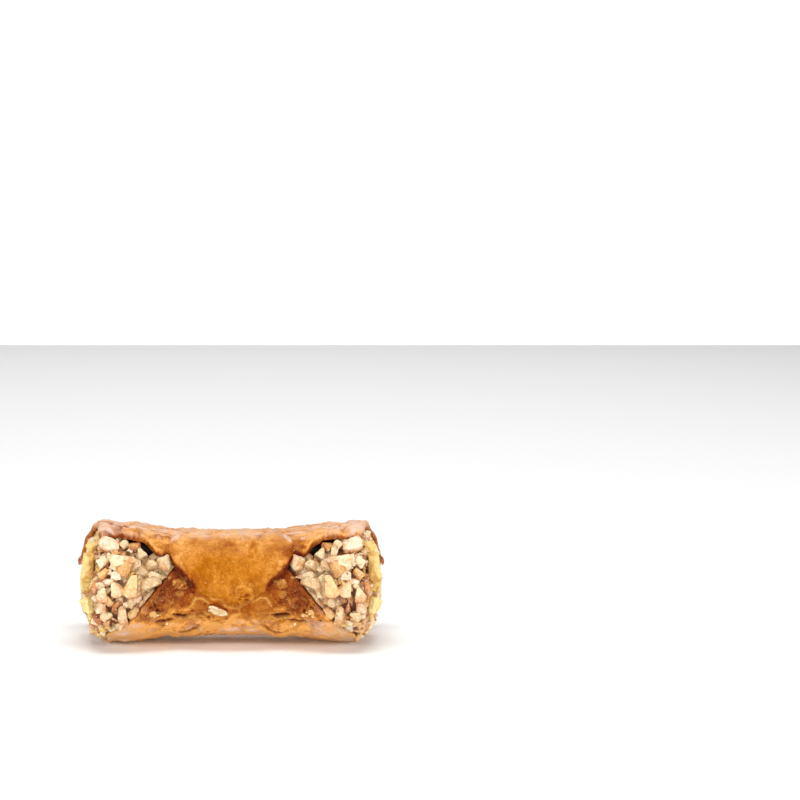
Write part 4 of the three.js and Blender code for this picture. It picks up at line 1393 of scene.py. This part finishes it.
class Nodes:
    """A material's nodes, added and linked with little typing. Sizes are in millimetres."""

    def __init__(self, name):
        self.material = bpy.data.materials.new(name)
        self.material.use_nodes = True
        self.tree = self.material.node_tree
        self.shader = self.tree.nodes["Principled BSDF"]
        self.place = self.add("ShaderNodeTexCoord").outputs["Object"]

    def add(self, kind, **settings):
        node = self.tree.nodes.new(kind)
        for key, value in settings.items():
            setattr(node, key, value)
        return node

    def feed(self, socket, source):
        if isinstance(source, bpy.types.NodeSocket):
            self.tree.links.new(source, socket)
        else:
            socket.default_value = source

    def mark(self, name):
        return self.add("ShaderNodeAttribute", attribute_name=name).outputs["Fac"]

    def noise(self, size, detail=3.0, roughness=0.5):
        node = self.add("ShaderNodeTexNoise")
        self.feed(node.inputs["Vector"], self.place)
        node.inputs["Scale"].default_value = 1.0 / (size * MM)
        node.inputs["Detail"].default_value = detail
        node.inputs["Roughness"].default_value = roughness
        return node.outputs["Fac"]

    def cells(self, size):
        node = self.add("ShaderNodeTexVoronoi")
        self.feed(node.inputs["Vector"], self.place)
        node.inputs["Scale"].default_value = 1.0 / (size * MM)
        return node.outputs["Distance"]

    def maths(self, operation, *values, clamp=False):
        node = self.add("ShaderNodeMath", operation=operation, use_clamp=clamp)
        for socket, value in zip(node.inputs, values):
            self.feed(socket, value)
        return node.outputs[0]

    def times(self, first, second):
        return self.maths("MULTIPLY", first, second)

    def spread(self, value, low, high, to_low=0.0, to_high=1.0):
        node = self.add("ShaderNodeMapRange")
        names = ("Value", "From Min", "From Max", "To Min", "To Max")
        for name, given in zip(names, (value, low, high, to_low, to_high)):
            self.feed(node.inputs[name], given)
        return node.outputs["Result"]

    def ramp(self, value, stops):
        node = self.add("ShaderNodeValToRGB")
        self.feed(node.inputs["Fac"], value)
        ramp = node.color_ramp
        while len(ramp.elements) < len(stops):
            ramp.elements.new(0.5)
        for element, (place, shade) in zip(ramp.elements, stops):
            element.position = place
            element.color = colour(*shade)
        return node.outputs["Color"]

    def mix(self, share, first, second):
        node = self.add("ShaderNodeMix", data_type="RGBA")
        self.feed(node.inputs[0], share)
        self.feed(node.inputs[6], first)
        self.feed(node.inputs[7], second)
        return node.outputs[2]

    def bump(self, height, strength, distance):
        node = self.add("ShaderNodeBump")
        node.inputs["Strength"].default_value = strength
        node.inputs["Distance"].default_value = distance * MM
        self.feed(node.inputs["Height"], height)
        self.feed(self.shader.inputs["Normal"], node.outputs["Normal"])

    def finish(self, base, rough, gloss=0.5, glow=0.0, glow_depth=1.0):
        self.feed(self.shader.inputs["Base Color"], base)
        self.feed(self.shader.inputs["Roughness"], rough)
        self.shader.inputs["Specular IOR Level"].default_value = gloss
        self.shader.inputs["Subsurface Weight"].default_value = glow
        self.shader.inputs["Subsurface Radius"].default_value = GLOW_SPREAD
        self.shader.inputs["Subsurface Scale"].default_value = glow_depth * MM
        return self.material


# %% [markdown]
# ### Fried dough
# Dough goes from straw through amber to nearly black as it is toasted. So one number, toast, runs along a
# ramp of colours, and a second ramp, richer in orange, takes over on the front of the flap, partly for oil
# glaze and partly as painted front light. The other marks lay pale lips, white painted glints, a pinkish
# painted sheen and dark hollows over it; the hollows are partly scorched dough and partly painted shadow.
# Fine noise adds the mottling and the tiny fried specks that are too small to model.

# %% The dough's colours
PLAIN_DOUGH = (
    (0.0, (234, 171, 98)),
    (0.25, (200, 132, 56)),
    (0.5, (160, 89, 30)),
    (0.75, (118, 50, 15)),
    (1.0, (78, 18, 5)),
)
# The richer orange: partly oil glaze and partly painted front light.
GLAZED_AND_FRONT_LIT_DOUGH = (
    (0.0, (202, 130, 40)),
    (0.3, (165, 92, 5)),
    (0.6, (142, 60, 3)),
    (1.0, (92, 20, 3)),
)
PALE_DOUGH = (218, 162, 82)
# White for painted glints.
PAINTED_GLINT = (250, 240, 224)
# The tint of the pinkish painted sheen and of the painted light from the floor.
PAINTED_LIGHT_TINT = (219, 189, 173)
SPECK = (236, 186, 110)
LINING = ((122, 56, 18), (206, 128, 56))
# Dark for scorched dough and for painted shadow in cracks, pits and along edges.
SCORCH_AND_SHADOW = (74, 16, 4)


# %% Finish the dough
def fried_dough():
    nodes = Nodes("fried_dough")
    mottle = nodes.noise(1.8, 5.0, 0.65)
    grain = nodes.noise(0.45, 2.0)
    toast = nodes.maths("ADD", nodes.mark("toast"), nodes.spread(mottle, 0.3, 0.7, -0.13, 0.13), clamp=True)
    toast = nodes.maths("ADD", toast, nodes.spread(grain, 0.3, 0.7, -0.06, 0.06), clamp=True)
    # The richer orange on the front is partly oil glaze and partly painted front light.
    base = nodes.mix(nodes.mark("glaze_and_front_light"), nodes.ramp(toast, PLAIN_DOUGH), nodes.ramp(toast, GLAZED_AND_FRONT_LIT_DOUGH))
    base = nodes.mix(nodes.mark("pale"), base, colour(*PALE_DOUGH))
    # Pale above 1 turns into white painted glints.
    base = nodes.mix(nodes.spread(nodes.mark("pale"), 1.0, 1.4, 0.0, 0.9), base, colour(*PAINTED_GLINT))
    # A pinkish painted sheen, a painted highlight, weaker on dark dough, and painted floor light underneath.
    patchy = nodes.spread(mottle, 0.38, 0.58, 0.45, 1.15)
    painted_light_share = nodes.maths("MULTIPLY", nodes.mark("bloom"), patchy, clamp=True)
    painted_light_share = nodes.times(painted_light_share, nodes.spread(toast, 0.25, 0.7, 1.0, 0.25))
    base = nodes.mix(painted_light_share, base, colour(*PAINTED_LIGHT_TINT))
    dots = nodes.spread(nodes.cells(0.8), 0.10, 0.24, 1.0, 0.0)
    specks = nodes.times(dots, nodes.spread(mottle, 0.45, 0.6))
    base = nodes.mix(nodes.times(specks, 0.55), base, colour(*SPECK))
    lining = nodes.mix(nodes.spread(nodes.noise(2.6), 0.44, 0.56), *(colour(*shade) for shade in LINING))
    base = nodes.mix(nodes.mark("inside"), base, lining)
    # Hollows darken: partly scorched dough and partly painted shadow.
    base = nodes.mix(nodes.mark("hollow"), base, colour(*SCORCH_AND_SHADOW))
    rough = nodes.spread(nodes.noise(2.2), 0.35, 0.65, 0.30, 0.46)
    rough = nodes.maths("MAXIMUM", rough, nodes.mark("hollow"))
    nodes.bump(nodes.maths("ADD", nodes.noise(0.6, 2.0), nodes.times(nodes.cells(0.9), 0.6)), 0.25, 0.10)
    return nodes.finish(base, rough, gloss=0.05, glow=0.12, glow_depth=1.2)


crust.data.materials.clear()
crust.data.materials.append(fried_dough())
print("the crust is fried dough")


# %% [markdown]
# ### Chopped nuts
# A cut hazelnut is ivory, and amber where it keeps its skin. All sorts share one recipe and differ in three
# shades: a light one, a middle one and the skin's. The marks add the skin, a painted shadow on the side of
# each nut that faces the middle of the tube and down, and, where a nut meets the cream, cream on the grey
# sort and painted shadow that deepens towards its foot. Coarse noise breaks the cut faces up into crumbly,
# darker places and paler flecks, which are painted highlights.

# %% The nuts' colours
NUT_SHADES = {
    "ivory": [(248, 238, 214), (240, 214, 166), (206, 134, 62)],
    "golden": [(236, 200, 138), (226, 166, 86), (188, 102, 34)],
    "toasted": [(222, 154, 86), (192, 108, 46), (130, 58, 20)],
    "grey": [(236, 211, 166), (208, 173, 122), (178, 124, 66)],
    "yellow": [(250, 234, 168), (238, 200, 108), (200, 142, 52)],
}
CREAM = (196, 158, 114)
# Painted shadow at the foot of the grey nuts.
CREAM_IN_SHADOW = (114, 74, 46)
LIGHT_CREAM = (212, 180, 135)
# Painted shadow between the nuts at the domed ends.
CREVICE_SHADOW_CREAM = (104, 54, 24)
SHADED_CREAM = (46, 16, 8)
# Painted shadows at the foot of the other nuts: amber, then deep.
AMBER_SHADOW = (178, 112, 52)
DEEP_SHADOW = (70, 42, 22)
CRUMB_SHADE = (214, 162, 90)
# Painted highlight flecks.
HIGHLIGHT_FLECK = (252, 244, 226)


# %% Finish the nuts
def nut_finish(sort):
    light, middle, skin_shade = (colour(*shade) for shade in NUT_SHADES[sort])
    nodes = Nodes(f"nut_{sort}")
    grain = nodes.noise(0.9, 3.0, 0.6)
    tone = nodes.maths("ADD", nodes.mark("tone"), nodes.spread(grain, 0.3, 0.7, -0.3, 0.3), clamp=True)
    base = nodes.mix(tone, light, middle)
    edge = nodes.times(nodes.mark("skin"), nodes.spread(nodes.noise(1.4), 0.35, 0.65, 0.2, 0.9))
    base = nodes.mix(edge, base, skin_shade)
    # A painted shadow on one side of the nut.
    side = nodes.times(nodes.mark("shadow_side"), nodes.spread(nodes.noise(1.1), 0.3, 0.6, 0.3, 0.9))
    base = nodes.mix(side, base, skin_shade)
    # Near the cream: cream on grey nuts, painted amber shadow on the rest, deeper painted shadow at the foot.
    low, deep = (CREAM, CREAM_IN_SHADOW) if sort == "grey" else (AMBER_SHADOW, DEEP_SHADOW)
    smear_and_shadow = nodes.times(nodes.mark("buried"), nodes.spread(nodes.noise(0.8), 0.3, 0.6, 0.6, 1.0))
    base = nodes.mix(nodes.spread(smear_and_shadow, 0.1, 0.6), base, colour(*low))
    base = nodes.mix(nodes.spread(smear_and_shadow, 0.55, 0.95), base, colour(*deep))
    flecks = nodes.spread(nodes.noise(1.5, 3.0, 0.6), 0.52, 0.66, 0.0, 0.45)
    base = nodes.mix(flecks, base, skin_shade)
    crumble = nodes.noise(0.55, 4.0, 0.7)
    crumbly = 0.2 if sort == "yellow" else 1.0
    crumb_shade = CREAM if sort == "grey" else CRUMB_SHADE
    base = nodes.mix(nodes.spread(crumble, 0.54, 0.68, 0.0, 0.5 * crumbly), base, colour(*crumb_shade))
    # Pale flecks are painted highlights.
    base = nodes.mix(nodes.spread(crumble, 0.46, 0.34, 0.0, 0.6 * crumbly), base, colour(*HIGHLIGHT_FLECK))
    chips = nodes.maths("ADD", nodes.noise(0.8, 4.0, 0.6), nodes.times(nodes.cells(0.9), 0.5))
    nodes.bump(chips, 1.0, 0.3)
    return nodes.finish(base, nodes.spread(grain, 0.2, 0.8, 0.30, 0.5), gloss=0.5, glow=0.2, glow_depth=1.2)


for sort, piece in nut_pieces.items():
    piece.data.materials.append(nut_finish(sort))
print("finished nuts:", ", ".join(nut_pieces))


# %% [markdown]
# ### Cream and flakes
# Hazelnut cream is a dull, soft brown with a swirl of lighter cream. Two marks change it: one paints it dark
# brown between the nuts at the domed ends, a painted shadow in the crevices, so that no pale cream shines
# between them, and shade darkens it with painted shadow in the gaps and under the crust. A flake is pale, dry
# dough, hardly toasted, with a fine grain.

# %% Finish the cream and the flakes
FLAKE_SHADES = ((230, 213, 176), (206, 170, 114))
TOASTED_FLAKE = (220, 172, 104)


def cream_finish():
    nodes = Nodes("hazelnut_cream")
    swirl = nodes.noise(1.2, 4.0, 0.6)
    base = nodes.mix(nodes.spread(swirl, 0.35, 0.65), colour(*CREAM), colour(*LIGHT_CREAM))
    base = nodes.mix(nodes.mark("crevice_shadow"), base, colour(*CREVICE_SHADOW_CREAM))
    base = nodes.mix(nodes.mark("shade"), base, colour(*SHADED_CREAM))
    nodes.bump(nodes.noise(0.6, 4.0, 0.65), 0.6, 0.25)
    return nodes.finish(base, 0.5, gloss=0.45, glow=0.1, glow_depth=0.8)


def flake_finish():
    nodes = Nodes("flake_dough")
    base = nodes.mix(nodes.spread(nodes.noise(0.9), 0.4, 0.6), *(colour(*shade) for shade in FLAKE_SHADES))
    base = nodes.mix(nodes.mark("tone"), base, colour(*TOASTED_FLAKE))
    nodes.bump(nodes.noise(0.5, 3.0), 0.5, 0.12)
    return nodes.finish(base, 0.5, gloss=0.3, glow=0.1, glow_depth=0.6)


cream.data.materials.append(cream_finish())
flake_piece.data.materials.append(flake_finish())
print("the cream and the flakes are finished")


# %% [markdown]
# ## Who stands for what
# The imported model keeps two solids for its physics: the shell and the filling. The new crust is shown in
# place of the first, and the cream, with the nuts on it, in place of the second. All of them ride on the
# one body.

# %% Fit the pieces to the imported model
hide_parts("shell")
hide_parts("filling")
for piece in (crust, flake_piece, cream, *nut_pieces.values()):
    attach(piece, "root")
print(f"{3 + len(nut_pieces)} pieces ride on the body")

# %% [markdown]
# ## Floor, light and camera
# The pastry lies on a plain, flat, pale floor. Five softboxes light it: a broad one above and a little in
# front gives the soft shine along the top, one behind lights its upper edge, one on each side shapes the
# mouths, and a long, low one in front opens the shadows. The pale room is bright near the horizon and dims
# higher up, so that the sides get more of it than the top does.

# %% The floor
FLOOR_SIZE = 1.5
bpy.ops.mesh.primitive_plane_add(size=FLOOR_SIZE)
floor = added("floor")
paper = Nodes("floor_paper")
floor.data.materials.append(paper.finish(colour(250, 250, 250), 0.9, gloss=0.2))
print(f"the floor is {FLOOR_SIZE} m wide")

# %% The softboxes
# Each one's place, its width and height in metres, and its power in watts.
SOFTBOXES = {
    "softbox_top": ((0.0, -0.1, 0.95), (0.6, 0.3), 5.8),
    "softbox_back": ((0.0, 0.8, 0.6), (1.0, 0.25), 2.0),
    "softbox_left": ((-0.8, -0.5, 0.5), (0.25, 0.25), 3.2),
    "softbox_right": ((0.8, -0.5, 0.5), (0.25, 0.25), 3.2),
    "softbox_low": ((0.0, -0.9, 0.08), (1.2, 0.12), 3.2),
}
for name, (place, (width, height), power) in SOFTBOXES.items():
    bpy.ops.object.light_add(type="AREA", location=place)
    lamp = bpy.context.view_layer.objects.active
    lamp.name = name
    lamp.data.shape = "RECTANGLE"
    lamp.data.size = width
    lamp.data.size_y = height
    lamp.data.energy = power
    towards = Vector((0, 0, AXIS_HEIGHT * MM)) - Vector(place)
    lamp.rotation_euler = towards.to_track_quat("-Z", "Y").to_euler()
print(f"{len(SOFTBOXES)} softboxes are lit")

# %% The pale room
ROOM = {"From Min": 0.08, "From Max": 0.25, "To Min": 1.1, "To Max": 0.2}
world = bpy.data.worlds.new("pale_room")
bpy.context.scene.world = world
world.use_nodes = True
room = world.node_tree.nodes["Background"]
room.inputs["Color"].default_value = (1.0, 1.0, 1.0, 1.0)
direction = world.node_tree.nodes.new("ShaderNodeTexCoord")
height = world.node_tree.nodes.new("ShaderNodeSeparateXYZ")
fall = world.node_tree.nodes.new("ShaderNodeMapRange")
world.node_tree.links.new(direction.outputs["Generated"], height.inputs["Vector"])
world.node_tree.links.new(height.outputs["Z"], fall.inputs["Value"])
world.node_tree.links.new(fall.outputs["Result"], room.inputs["Strength"])
for name, value in ROOM.items():
    fall.inputs[name].default_value = value
print(f"the room's light falls from {ROOM['To Min']} to {ROOM['To Max']}")

# %% [markdown]
# ### The camera
# It looks at the front from a little above, through a long lens that hardly distorts. The pastry lies low
# and to the left in the frame. The camera isn't turned for that: its lens is shifted, so that the pastry is
# still seen straight on. The seen length and middle are in the frame's pixels, from its upper left corner.

# %% Set up the camera
FRAME_PIXELS = 800
LENS = 100.0
SENSOR = 36.0
NEAREST_SEEN = 0.01
FARTHEST_SEEN = 20
VIEW_RISE = 12.0
SEEN_LENGTH = 305.0
SEEN_MIDDLE = (231.0, 582.0)
middle = Vector((0, AXIS_Y, AXIS_HEIGHT)) * MM
distance = LENGTH * MM * LENS / (SEEN_LENGTH / FRAME_PIXELS * SENSOR)
view_rise = math.radians(VIEW_RISE)
eye = middle + distance * Vector((0, -math.cos(view_rise), math.sin(view_rise)))
bpy.ops.object.camera_add(location=eye)
camera = bpy.context.view_layer.objects.active
camera.data.lens = LENS
camera.data.sensor_width = SENSOR
camera.data.clip_start = NEAREST_SEEN
camera.data.clip_end = FARTHEST_SEEN
camera.data.shift_x = (FRAME_PIXELS / 2 - SEEN_MIDDLE[0]) / FRAME_PIXELS
camera.data.shift_y = (SEEN_MIDDLE[1] - FRAME_PIXELS / 2) / FRAME_PIXELS
camera.rotation_euler = (math.pi / 2 - view_rise, 0, 0)
bpy.context.scene.camera = camera
bpy.context.scene.view_settings.view_transform = "Standard"
print(f"the camera stands {distance:.3f} m away")
